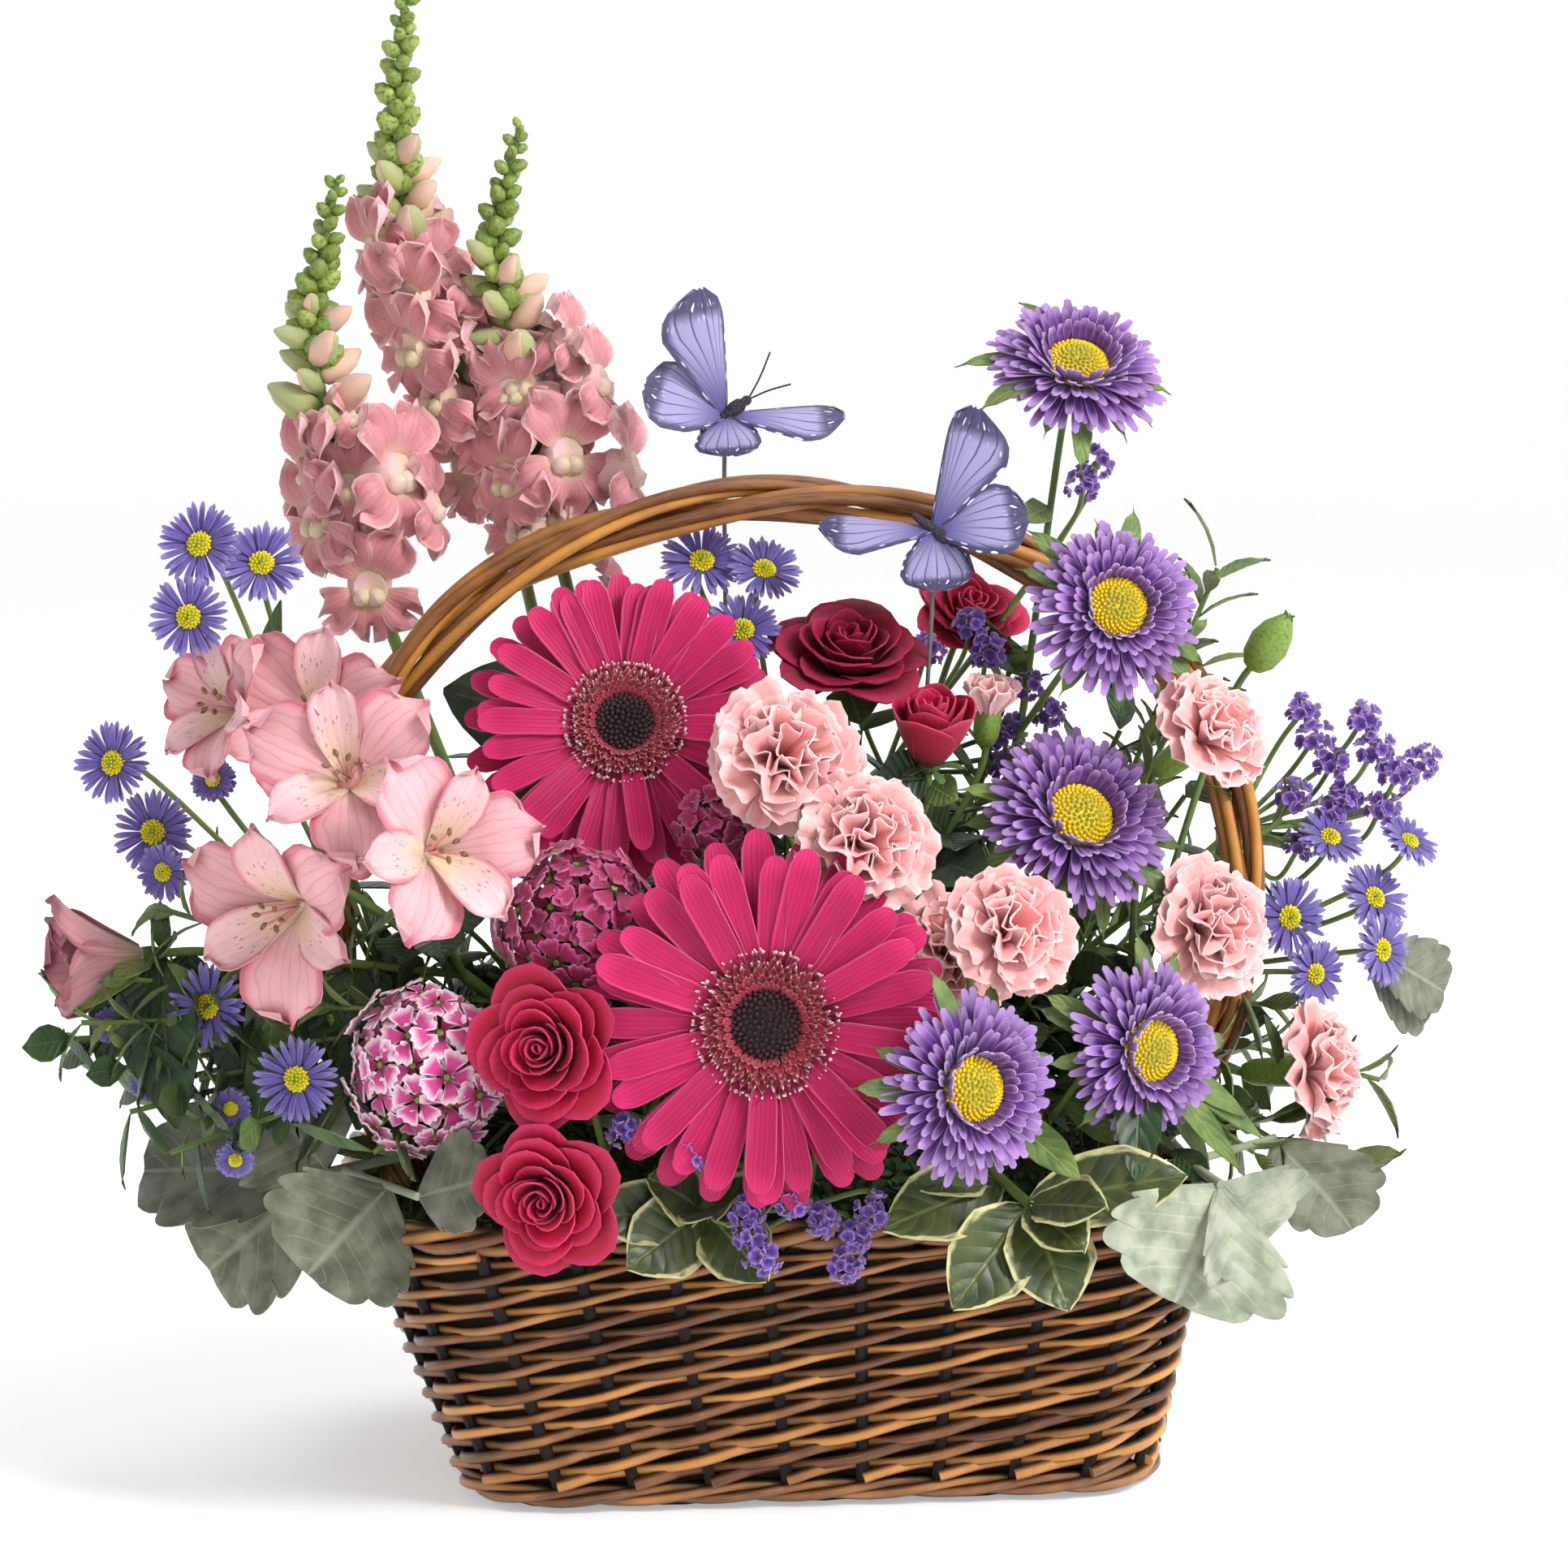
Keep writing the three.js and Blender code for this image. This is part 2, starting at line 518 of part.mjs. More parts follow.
plant("middle_carnation_stems", { foot: [8, -26], fork: [16, -34, 160],
  heads: [
    ["carnation", 44, [968, 930], -80, [8, 25], "carnation_1", colours.palePink],
    ["carnation", 41, [1068, 1035], -91, [12, 20], "carnation_2", colours.palePink],
    ["bud", 13, [1218, 880], -30, [20, 75]],
  ],
  leaves: [["plain", 5, [1010, 1000], -50, [0, 40]]] });
plant("inner_carnation_stems", { foot: [34, -44], fork: [46, -72, 134],
  heads: [
    ["carnation", 40, [1180, 1175], -62, [18, 15], "carnation_3", colours.palePink],
    ["carnation", 40, [1252, 1143], -100, [22, 30], "carnation_4", colours.palePink],
  ] });
plant("right_carnation_stems", { foot: [64, -14], fork: [98, -26, 140],
  heads: [
    ["carnation", 41, [1500, 1140], -50, [35, 15], "carnation_5", colours.palePink],
    ["carnation", 38, [1505, 893], -44, [45, 35], "carnation_6", colours.palePink],
    ["carnation", 40, [1640, 1320], -32, [60, 5], "carnation_7", colours.palePink],
    ["bud", 13, [1562, 795], -14, [65, 55]],
  ],
  leaves: [["plain", 6, [1560, 1250], -30, [40, 20]]] });

plant("back_aster_stems", { foot: [44, 14], fork: [70, 10, 225],
  heads: [
    ["aster", 56, [1330, 440], 8, [8, 50], "aster_1", colours.purple],
    ["aster", 53, [1380, 745], -40, [8, 20], "aster_2", colours.purple],
  ],
  leaves: [["broad", 14, [1470, 830], -30, [20, 30]], ["plain", 10, [1260, 640], 10, [0, 30]]] });
plant("middle_aster_stem", { foot: [40, -14],
  heads: [["aster", 60, [1335, 1000], -46, [15, 35], "aster_3", colours.purple]],
  leaves: [["broad", 14, [1330, 1105], -40, [0, 30]]] });
plant("front_aster_stems", { foot: [56, -46], fork: [68, -64, 116],
  heads: [
    ["aster", 54, [1425, 1295], -84, [28, 5], "aster_4", colours.purple],
    ["aster", 56, [1205, 1342], -127, [24, 8], "aster_5", colours.purple],
  ],
  leaves: [["broad", 12, [1330, 1450], -108, [10, 20]]] });

plant("alstroemeria_stems", { foot: [-66, -14], radius: 2, fork: [-106, -38, 160],
  heads: [
    ["alstroemeria", 56, [385, 880], -40, [-20, 15], "alstroemeria_1", colours.pink],
    ["alstroemeria", 55, [425, 950], -74, [-10, 28], "alstroemeria_2", colours.pink, 0.5],
    ["alstroemeria", 60, [345, 1125], -62, [-35, -5], "alstroemeria_3", colours.pink],
    ["alstroemeria", 55, [545, 1045], -96, [20, 15], "alstroemeria_4", colours.pink, 0.4],
    ["alstroemeria", 50, [130, 1178], -30, [-80, 0], "alstroemeria_5", colours.pink],
  ],
  leaves: [["plain", 9, [215, 1155], -40, [-20, 40]], ["plain", 10, [410, 1380], -66, [-20, 30]]] });

plant("monte_left_spray", { foot: [-84, 4], radius: 1.3, fork: [-124, -18, 142], colour: colours.lavender,
  heads: [
    ["daisy", 26, [245, 670], -18, [-20, 20]], ["daisy", 26, [322, 693], -14, [0, 30]],
    ["daisy", 26, [188, 1025], -16, [-20, 10]],
    ["daisy", 26, [255, 1240], -40, [-30, 10]], ["daisy", 26, [365, 1330], -66, [-20, 5]],
  ] });
plant("monte_back_spray", { foot: [-6, 22], radius: 1.3, fork: [-8, 6, 230], colour: colours.lavender,
  heads: [
    ["daisy", 26, [865, 690], 4, [0, 40]], ["daisy", 24, [942, 700], 0, [10, 45]],
    ["daisy", 24, [915, 775], -10, [0, 30]],
  ] });
plant("monte_right_spray", { foot: [72, 12], radius: 1.3, fork: [116, 18, 146], colour: colours.lavender,
  heads: [
    ["daisy", 26, [1590, 1130], 16, [20, 10]], ["daisy", 24, [1695, 1105], 20, [30, 30]],
    ["daisy", 24, [1705, 1170], 10, [40, 10]], ["daisy", 22, [1640, 1030], 22, [20, 50]],
  ],
  leaves: [["lobed", 30, [1775, 1240], 14, [20, 20]]] });

plant("statice_right_spray", { foot: [66, 34], radius: 1.2, fork: [140, 26, 190], colour: colours.violet,
  heads: [[1610, 890], [1645, 940], [1690, 905], [1740, 945], [1700, 1000]].map((pixel, k) =>
    ["tuft", 11, pixel, 28 + 3 * (k % 3), [40, 50]]) });
plant("statice_middle_spray", { foot: [24, 26], radius: 1.2, fork: [30, 30, 210], colour: colours.violet,
  heads: [[1140, 800], [1200, 800], [1240, 900], [1290, 880]].map((pixel, k) =>
    ["tuft", 11, pixel, 8 + 3 * k, [10, 50]]) });
plant("statice_front_spray", { colour: colours.violet,
  foot: [0, -58], rise: 5, radius: 1.2, fork: [-8, -92, 98],
  heads: [[920, 1500], [1050, 1500], [940, 1545], [1065, 1550]].map((pixel, k) =>
    ["tuft", 10, pixel, -104 - 2 * (k % 3), [0, -10]]) });

plant("sweet_william_left", { foot: [-74, -40], colour: colours.william,
  heads: [["william", 60, [500, 1320], -80, [-30, 5]]] });
plant("sweet_william_middle", { foot: [-40, -28], colour: colours.magenta,
  heads: [["william", 54, [700, 1130], -88, [-15, 20]]] });

plant("dusty_left_bunch", { foot: [-84, -26], rise: 4, via: [[-112, -32, 107]], fork: [-147, -42, 101],
  colour: colours.felt, twigs: [[-122, -88, 103]],
  leaves: [
    ["lobed", 34, [255, 1565], -30, [-30, 20]], ["lobed", 30, [175, 1440], -20, [-20, 40]],
    ["lobed", 30, [330, 1360], -50, [-20, 30]], ["lobed", 34, [380, 1570], -84, [-10, 10]],
    ["lobed", 30, [520, 1500], -100, [0, 20]],
  ] });
plant("dusty_right_bunch", { foot: [76, -28], rise: 4, via: [[98, -38, 108]], fork: [116, -92, 102],
  colour: colours.felt, twigs: [[142, -40, 105]],
  leaves: [
    ["lobed", 42, [1450, 1605], -104, [10, 10]], ["lobed", 36, [1550, 1540], -90, [30, 20]],
    ["lobed", 34, [1685, 1500], -60, [30, 30]],
    ["lobed", 30, [1370, 1450], -110, [0, 20]],
  ] });

plant("pittosporum_left_sprig", { foot: [-28, -58], rise: 5, fork: [-38, -92, 98],
  leaves: [
    ["broad", 18, [790, 1550], -106, [0, 10]], ["broad", 18, [885, 1580], -106, [10, 0]],
    ["broad", 16, [735, 1510], -102, [-20, 20]], ["broad", 16, [850, 1520], -104, [0, 30]],
  ] });
plant("pittosporum_right_sprig", { foot: [34, -60], rise: 5, fork: [58, -93, 98],
  leaves: [
    ["broad", 18, [1190, 1570], -110, [0, 10]], ["broad", 18, [1280, 1600], -108, [10, 0]],
    ["broad", 18, [1400, 1480], -104, [10, 20]], ["broad", 16, [1110, 1500], -108, [-10, 20]],
    ["broad", 16, [1300, 1470], -112, [10, 40]],
  ] });

// ---------------------------------------------------------------- snapdragon spikes
function spike(name, foot, depth, pixels, florets, buds) {
  const line = pixels.map((pixel) => atPixel(pixel, depth));
  const { curve, tail } = rooted(foot, 12, line, 2);
  const steps = 9;
  const parts = [tail, tube(curve, 2, 3, steps)];
  for (const [u, v, size, nearer] of florets) {
    const mouth = atPixel([u, v], depth - nearer);
    const base = nearestOn(curve, steps, mouth.clone().add(V(0, 0, -4)));
    const length = base.distanceTo(mouth);
    const profile = (s) => [(size / 2) * s, length * Math.min(1, s / 0.45) + (s > 0.5 ? 2 : 0)];
    parts.push(stand(whorl({ petals: 4, notch: 0.45, tip: 0.55, profile }), base, mouth.sub(base)));
  }
  const top = line[line.length - 1];
  for (let k = 0; k < buds; k++) {
    const share = k / buds;
    const beside = top.clone().lerp(line[line.length - 2], share * 0.98).add(V(0, 0, -2));
    const base = nearestOn(curve, steps, beside);
    const facing = V(Math.cos(k * goldenAngle), Math.sin(k * goldenAngle), 0.9);
    const size = mix(2.6, 5.2, share);
    parts.push(stand(turned([[0, -1], [size * 0.7, size], [0, 2.6 * size]], 3), base, facing));
  }
  add(name, colours.snap, join(parts));
}

spike("snapdragon_left", [-70, 26], 34, [[445, 680], [430, 620], [385, 420], [400, 300], [415, 225]],
  [[380, 580, 26, 6], [385, 640, 26, 10], [495, 580, 30, 16], [455, 725, 26, 14], [540, 620, 24, 6]], 7);
spike("snapdragon_tall", [-48, 40], 52, [[620, 600], [600, 530], [505, 290], [490, 150], [500, -18]],
  [[455, 310, 24, 6], [500, 370, 26, 14], [500, 430, 26, 12], [530, 490, 26, 12], [575, 350, 22, 4]], 9);
spike("snapdragon_right", [-26, 44], 40, [[690, 690], [665, 560], [625, 380], [612, 290], [640, 158]],
  [[640, 470, 22, 10], [710, 420, 22, 6], [745, 465, 24, 8], [620, 590, 26, 12], [700, 560, 28, 16],
    [785, 575, 28, 8], [640, 650, 26, 14]], 6);

// ---------------------------------------------------------------- butterflies on wires
function butterfly(name, foot, depth, [rear, nose], wings, facing) {
  const [back, front] = [atPixel(rear, depth), atPixel(nose, depth - 2)];
  const middle = back.clone().lerp(front, 0.5);
  const { curve, tail } = rooted(foot, 12, [middle.clone().add(V(0, 3, -26)), middle], 0.8);
  const length = back.distanceTo(front);
  const body = turned([[0, 0], [1.6, length * 0.25], [2.2, length * 0.7], [0, length]], 6);
  const parts = [tail, tube(curve, 0.8, 3, 5), stand(body, back, front.clone().sub(back))];
  for (const [pixel, nearer, width, shape] of wings) {
    parts.push(leaf(middle, atPixel(pixel, depth - nearer), facing, width, outlines[shape], 0));
  }
  add(name, colours.wing, join(parts));
}

butterfly("butterfly_left", [-18, 12], 16, [[862, 532], [925, 490]],
  [[[862, 358], -2, 22, "frontWing"], [[795, 478], 2, 20, "backWing"],
    [[1038, 512], -2, 22, "frontWing"], [[898, 560], 4, 16, "backWing"]], direction([0, 40]));
butterfly("butterfly_right", [28, -10], -22, [[1122, 632], [1178, 672]],
  [[[1200, 508], -2, 22, "frontWing"], [[1262, 650], 4, 20, "backWing"],
    [[1012, 650], -2, 22, "frontWing"], [[1150, 722], 4, 18, "backWing"]], direction([0, 40]));

add("foam", colours.foam, foamBlock().subtract(join(holes)));

export default arrangement;
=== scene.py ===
from functools import partial
from math import cos, pi, radians, sin, sqrt

import bpy
import numpy as np
from mathutils import Matrix, Vector


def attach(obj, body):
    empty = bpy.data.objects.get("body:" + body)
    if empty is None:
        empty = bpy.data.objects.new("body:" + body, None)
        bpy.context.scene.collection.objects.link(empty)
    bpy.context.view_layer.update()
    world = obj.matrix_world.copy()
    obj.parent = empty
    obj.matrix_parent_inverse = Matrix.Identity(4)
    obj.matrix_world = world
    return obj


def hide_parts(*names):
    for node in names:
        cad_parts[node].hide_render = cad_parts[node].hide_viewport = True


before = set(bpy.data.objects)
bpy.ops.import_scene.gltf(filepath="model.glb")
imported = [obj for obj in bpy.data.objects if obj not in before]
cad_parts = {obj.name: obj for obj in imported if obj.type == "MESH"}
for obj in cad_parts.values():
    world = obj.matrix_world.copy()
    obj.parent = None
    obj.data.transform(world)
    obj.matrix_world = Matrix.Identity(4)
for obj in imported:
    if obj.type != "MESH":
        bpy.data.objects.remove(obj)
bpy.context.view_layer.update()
print("frame loaded:", len(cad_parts), "nodes")

# Everything below is worked out in millimetres and turned into metres when a piece is made.
mm = 0.001
goldenAngle = pi * (3 - sqrt(5))
dice = np.random.default_rng(7)

# ---- where things are: the camera of the photograph, and helpers that read places off it

view = {  # millimetres and degrees, the photograph's width and middle in pixels, and millimetres a pixel
    "distance": 1700, "azimuth": -6, "elevation": 8, "target": (-4.8, 0, 211),
    "pixels": 1932, "middle": 966, "scale": 0.25,
}


def vec(*values):
    return np.array(values, float)


def unit(a):
    return a / (np.linalg.norm(a) + 1e-12)


def direction(azimuth, elevation):  # azimuth 0 is the front, positive to the right
    a, e = radians(azimuth), radians(elevation)
    return vec(sin(a) * cos(e), -cos(a) * cos(e), sin(e))


def atPixel(pixel, y):  # the point on the photograph's pixel that lies at the depth y
    a = radians(view["azimuth"])
    back = direction(view["azimuth"], view["elevation"])
    right = vec(cos(a), sin(a), 0)
    up = np.cross(back, right)
    eye = vec(*view["target"]) + back * view["distance"]
    ray = -back * view["distance"]
    ray = ray + right * (pixel[0] - view["middle"]) * view["scale"]
    ray = ray + up * (view["middle"] - pixel[1]) * view["scale"]
    return eye + ray * (y - eye[1]) / ray[1]


def smoothPath(points, steps=8):  # a centripetal Catmull-Rom curve through the points
    p = [np.asarray(q, float) for q in points]
    p = [2 * p[0] - p[1]] + p + [2 * p[-1] - p[-2]]
    out = []
    for a, b, c, d in zip(p, p[1:], p[2:], p[3:]):
        t1 = sqrt(np.linalg.norm(b - a))
        t2 = t1 + sqrt(np.linalg.norm(c - b))
        t3 = t2 + sqrt(np.linalg.norm(d - c))
        for t in np.linspace(t1, t2, steps, endpoint=False):
            ab = (a * (t1 - t) + b * t) / t1
            bc = (b * (t2 - t) + c * (t - t1)) / (t2 - t1)
            cd = (c * (t3 - t) + d * (t - t2)) / (t3 - t2)
            abc = (ab * (t2 - t) + bc * t) / t2
            bcd = (bc * (t3 - t) + cd * (t - t1)) / (t3 - t1)
            out.append((abc * (t2 - t) + bcd * (t - t1)) / (t2 - t1))
    return np.array(out + [p[-2]])


def evenPath(path, gap):  # the same path with points at an even spacing
    way = np.concatenate([[0], np.cumsum(np.linalg.norm(np.diff(path, axis=0), axis=1))])
    at = np.linspace(0, way[-1], max(2, int(round(way[-1] / gap)) + 1))
    return np.stack([np.interp(at, way, path[:, k]) for k in range(3)], axis=1)


# ---- mesh parts: plain dictionaries of arrays, joined and moved before they become an object

paints = []  # every material, in the order in which it was made
grainRound = 4.0  # how far the grain moves from the middle line of a rod to its skin


def paintNumber(name):
    return [paint.name for paint in paints].index(name)


def makePart(co, faces, place=None, tone=0.5, paint="leafGreen"):
    co = np.asarray(co, float).reshape(-1, 3)
    sizes = np.concatenate([np.full(len(f), len(f[0])) for f in faces])
    return {
        "co": co,
        "loops": np.concatenate([np.ravel(f) for f in faces]).astype(np.int32),
        "sizes": sizes.astype(np.int32),
        "place": np.zeros((len(co), 3)) if place is None else np.asarray(place, float).reshape(-1, 3),
        "tone": np.full(len(co), tone, float),
        "paint": np.full(len(sizes), paintNumber(paint), np.int32),
    }


def joinParts(parts):
    starts = np.cumsum([0] + [len(part["co"]) for part in parts])
    joined = {key: np.concatenate([part[key] for part in parts]) for key in parts[0]}
    joined["loops"] = np.concatenate([part["loops"] + start for part, start in zip(parts, starts)])
    return joined


def movePart(part, turn=None, shift=(0, 0, 0), scale=1.0):
    co = part["co"] * scale
    if turn is not None:
        co = co @ np.asarray(turn, float).T
    return {**part, "co": co + np.asarray(shift, float)}


def standPart(part, base, facing, roll=0.0, up=None):  # local +Z goes along facing, and +X towards up
    facing = unit(np.asarray(facing, float))
    if up is None:
        aim = Vector((0, 0, 1)).rotation_difference(Vector(facing)).to_matrix()
        turn = np.array(aim @ Matrix.Rotation(roll, 3, "Z"))
    else:
        side = unit(np.cross(facing, unit(np.asarray(up, float))))
        turn = np.stack([np.cross(side, facing), side, facing], axis=1)
    return movePart(part, turn, base)


def gridOf(rows, cols):  # shares along from 0 to 1 and across from -1 to 1, for a petal or a leaf
    return np.meshgrid(np.linspace(0, 1, rows), np.linspace(-1, 1, cols), indexing="ij")


def shell(top, thick=0.4, paint="leafGreen", tone=0.5):  # a thin closed skin under a grid of points
    rows, cols = top.shape[:2]
    normal = np.cross(np.gradient(top, axis=0), np.gradient(top, axis=1))
    normal /= np.linalg.norm(normal, axis=2, keepdims=True) + 1e-9
    number = np.arange(rows * cols).reshape(rows, cols)
    a, b, c, d = number[:-1, :-1], number[1:, :-1], number[1:, 1:], number[:-1, 1:]
    over = np.stack([a, b, c, d], axis=-1).reshape(-1, 4)
    edge = np.concatenate([number[:, 0], number[-1, 1:], number[::-1, -1][1:], number[0, ::-1][1:]])
    start, end, below = edge[:-1], edge[1:], rows * cols
    rim = np.stack([end, start, start + below, end + below], axis=-1)
    t, u = gridOf(rows, cols)
    place = np.stack([u, t, np.zeros_like(u)], axis=-1)
    co = np.concatenate([top.reshape(-1, 3), (top - normal * thick).reshape(-1, 3)])
    places = np.concatenate([place.reshape(-1, 3), place.reshape(-1, 3) + [0, 0, 1]])
    return makePart(co, [over, over[:, ::-1] + below, rim], places, tone, paint)


def wallFaces(rows, count):  # point numbers of rings of equal count, and the faces between them
    number = np.arange(rows * count).reshape(rows, count)
    onward = np.roll(number, -1, axis=1)
    return number, np.stack([number[:-1], onward[:-1], onward[1:], number[1:]], axis=-1).reshape(-1, 4)


def stackRings(rings, paint="leafGreen", place=None, tone=0.5):  # a skin over the rings, closed at both ends
    rings = np.array(rings)
    number, walls = wallFaces(*rings.shape[:2])
    return makePart(rings, [walls, number[:1, ::-1], number[-1:]], place, tone, paint)


def lathe(pairs, sides=16, paint="leafGreen", tone=0.5):  # radius and height of each ring, from the bottom up
    pairs = [(max(r, 0.01), z) for r, z in pairs]
    a = np.linspace(0, 2 * pi, sides, endpoint=False)
    x, y, rise = np.cos(a) * grainRound, np.sin(a) * grainRound, np.linspace(0, 1, len(pairs))[:, None]
    rings = [[(r * cos(k), r * sin(k), z) for k in a] for r, z in pairs]
    return stackRings(rings, paint, np.stack(np.broadcast_arrays(x, y, rise), axis=-1), tone)


def camel(name):
    first, *rest = name.split("_")
    return first + "".join(word.title() for word in rest)


def meshOf(name, part, scale=1.0):
    mesh = bpy.data.meshes.new(name)
    mesh.vertices.add(len(part["co"]))
    mesh.vertices.foreach_set("co", (part["co"] * scale).ravel())
    mesh.loops.add(len(part["loops"]))
    mesh.loops.foreach_set("vertex_index", part["loops"])
    mesh.polygons.add(len(part["sizes"]))
    mesh.polygons.foreach_set("loop_start", np.concatenate([[0], np.cumsum(part["sizes"])[:-1]]).astype(np.int32))
    mesh.attributes.new("place", "FLOAT_VECTOR", "POINT").data.foreach_set("vector", part["place"].ravel())
    mesh.update()
    return mesh


def showObject(name, data):
    shown = bpy.data.objects.new(name, data)
    bpy.context.scene.collection.objects.link(shown)
    return shown


def makePiece(name, part, slot, *nodes):
    used = np.unique(part["paint"])
    mesh = meshOf(name, part, mm)
    for number in used:
        mesh.materials.append(paints[number])
    mesh.polygons.foreach_set("material_index", np.searchsorted(used, part["paint"]).astype(np.int32))
    mesh.attributes.new("tone", "FLOAT", "POINT").data.foreach_set("value", part["tone"])
    mesh.update()
    mesh.validate()
    mesh.polygons.foreach_set("use_smooth", np.ones(len(mesh.polygons), bool))
    mesh.set_sharp_from_angle(angle=radians(55))
    piece = showObject(name, mesh)
    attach(piece, "root")
    if nodes:
        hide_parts(*nodes)


# ---- node trees: each helper adds to the tree in work

work = {}
anyTurn = 6.28  # a random spin reaches this far round


def newTree(name, treeKind, inputs, outputs):  # a number tells an input's type and its value, a word only its type
    tree = bpy.data.node_groups.new(name, treeKind)
    for label, value in inputs.items():
        kind = value if isinstance(value, str) else "Int" if isinstance(value, int) else "Float"
        socket = tree.interface.new_socket(label, in_out="INPUT", socket_type="NodeSocket" + kind)
        if kind != value:
            socket.default_value = value
    for label, kind in outputs.items():
        tree.interface.new_socket(label, in_out="OUTPUT", socket_type="NodeSocket" + kind)
    work["tree"], work["end"] = tree, tree.nodes.new("NodeGroupOutput")
    return tree.nodes.new("NodeGroupInput").outputs


def fillSockets(node, values):
    for key, value in values.items():
        if isinstance(value, bpy.types.NodeSocket):
            work["tree"].links.new(value, node.inputs[key])
        else:
            node.inputs[key].default_value = value
    return work["tree"]


def addNode(kind, inputs=None, out=0, **settings):  # gives back one output of the new node, or all of them for None
    node = work["tree"].nodes.new(kind)
    for key, value in settings.items():
        setattr(node, key, value)
    fillSockets(node, inputs or {})
    return node.outputs if out is None else node.outputs[out]


def mathNode(operation, *values):
    return addNode("ShaderNodeMath", dict(enumerate(values)), operation=operation)


plus, minus, times, divide, timesPlus, larger = [partial(mathNode, kind) for kind in (
    "ADD", "SUBTRACT", "MULTIPLY", "DIVIDE", "MULTIPLY_ADD", "MAXIMUM")]
sine, cosine, absolute = [partial(mathNode, kind) for kind in ("SINE", "COSINE", "ABSOLUTE")]


def combine(x=0.0, y=0.0, z=0.0):
    return addNode("ShaderNodeCombineXYZ", {0: x, 1: y, 2: z})


def randomBetween(low, high, seed, step=0.0):  # each step from the seed gives other numbers
    seed = plus(seed, step) if step else seed
    return addNode("FunctionNodeRandomValue", {2: low, 3: high, 8: seed}, out=1, data_type="FLOAT")


def swingBy(spread, seed, step=0.0):
    return randomBetween(times(spread, -1.0), spread, seed, step)


def aroundOne(spread, seed, step):
    return randomBetween(minus(1.0, spread), plus(1.0, spread), seed, step)


def readValue(name):
    return addNode("GeometryNodeInputNamedAttribute", {"Name": name}, data_type="FLOAT")


def storeValue(geometry, name, value, kind="FLOAT", domain="POINT"):
    inputs = {"Geometry": geometry, "Name": name, "Value": value}
    return addNode("GeometryNodeStoreNamedAttribute", inputs, data_type=kind, domain=domain)


def turnOn(first, x, y, z):  # a rotation, turned on by angles of its own
    own = addNode("FunctionNodeEulerToRotation", {0: combine(x, y, z)})
    return addNode("FunctionNodeRotateRotation", {0: first, 1: own}, rotation_space="LOCAL")


def copyOnto(points, shape, turn, size, tone):
    inputs = {"Points": points, "Instance": shape, "Rotation": turn, "Scale": size}
    return storeValue(addNode("GeometryNodeInstanceOnPoints", inputs), "tone", tone, domain="INSTANCE")


def shapeOf(given):
    return addNode("GeometryNodeObjectInfo", {"Object": given["Shape"]}, out="Geometry")


def newShapes(name, inputs):
    return newTree(name, "GeometryNodeTree", inputs | {"Material": "Material"}, {"Geometry": "Geometry"})


def closeShapes(geometry, given):
    plain = addNode("GeometryNodeRealizeInstances", {"Geometry": geometry})
    painted = addNode("GeometryNodeSetMaterial", {"Geometry": plain, "Material": given["Material"]})
    return fillSockets(work["end"], {0: painted})


def petalRingTree():  # copies of one petal round an axis
    given = newShapes("petalRing", {
        "Petal": "Geometry", "Count": 12, "Radius": 0.0, "Height": 0.0, "Lean": 0.0, "Lean Spread": radians(4),
        "Turn Spread": 0.06, "Size Spread": 0.05, "Start": 0.0, "Seed": 1})
    count, radius, seed = given["Count"], given["Radius"], given["Seed"]
    step = divide(2 * pi, count)
    angle = timesPlus(addNode("GeometryNodeInputIndex"), step, given["Start"])
    angle = plus(angle, swingBy(given["Turn Spread"], seed))
    place = combine(times(cosine(angle), radius), times(sine(angle), radius), given["Height"])
    points = addNode("GeometryNodePoints", {"Count": count, "Position": place})
    tilt = swingBy(given["Lean Spread"], seed, 11.0)
    turn = combine(times(tilt, 0.8), times(plus(given["Lean"], tilt), -1.0), angle)
    size = aroundOne(given["Size Spread"], seed, 23.0)
    return closeShapes(copyOnto(points, given["Petal"], turn, size, randomBetween(0.0, 1.0, seed, 31.0)), given)


def domeTree():  # copies spread over a dome in the golden angle, as seeds and florets grow
    given = newShapes("domeOfSeeds", {
        "Seed Shape": "Geometry", "Count": 60, "Radius": 8.0, "Rise": 3.0, "Base": 0.0, "Reach": radians(70),
        "Size Spread": 0.1, "Tone By Ring": 1.0, "Scatter": 0.0, "Seed": 1})
    index, reach, seed = addNode("GeometryNodeInputIndex"), given["Reach"], given["Seed"]
    share = divide(plus(index, 0.5), given["Count"])
    edge = minus(1.0, cosine(reach))
    climb = times(edge, share)
    polar = mathNode("ARCCOSINE", minus(1.0, climb))
    angle = times(index, goldenAngle)
    out = times(divide(sine(polar), sine(reach)), given["Radius"])
    high = timesPlus(minus(1.0, divide(climb, edge)), given["Rise"], given["Base"])
    place = combine(times(cosine(angle), out), times(sine(angle), out), high)
    away = aroundOne(given["Scatter"], seed, 2.0)
    place = addNode("ShaderNodeVectorMath", {0: place, "Scale": away}, operation="SCALE")
    points = addNode("GeometryNodePoints", {"Count": given["Count"], "Position": place})
    upright = addNode("FunctionNodeEulerToRotation", {0: combine(0.0, polar, angle)})
    turn = turnOn(upright, 0.0, 0.0, randomBetween(0.0, anyTurn, seed))
    size = aroundOne(given["Size Spread"], seed, 5.0)
    chance = randomBetween(0.0, 1.0, seed, 9.0)
    tone = addNode("ShaderNodeMix", {0: given["Tone By Ring"], 2: chance, 3: share}, data_type="FLOAT")
    return closeShapes(copyOnto(points, given["Seed Shape"], turn, size, tone), given)


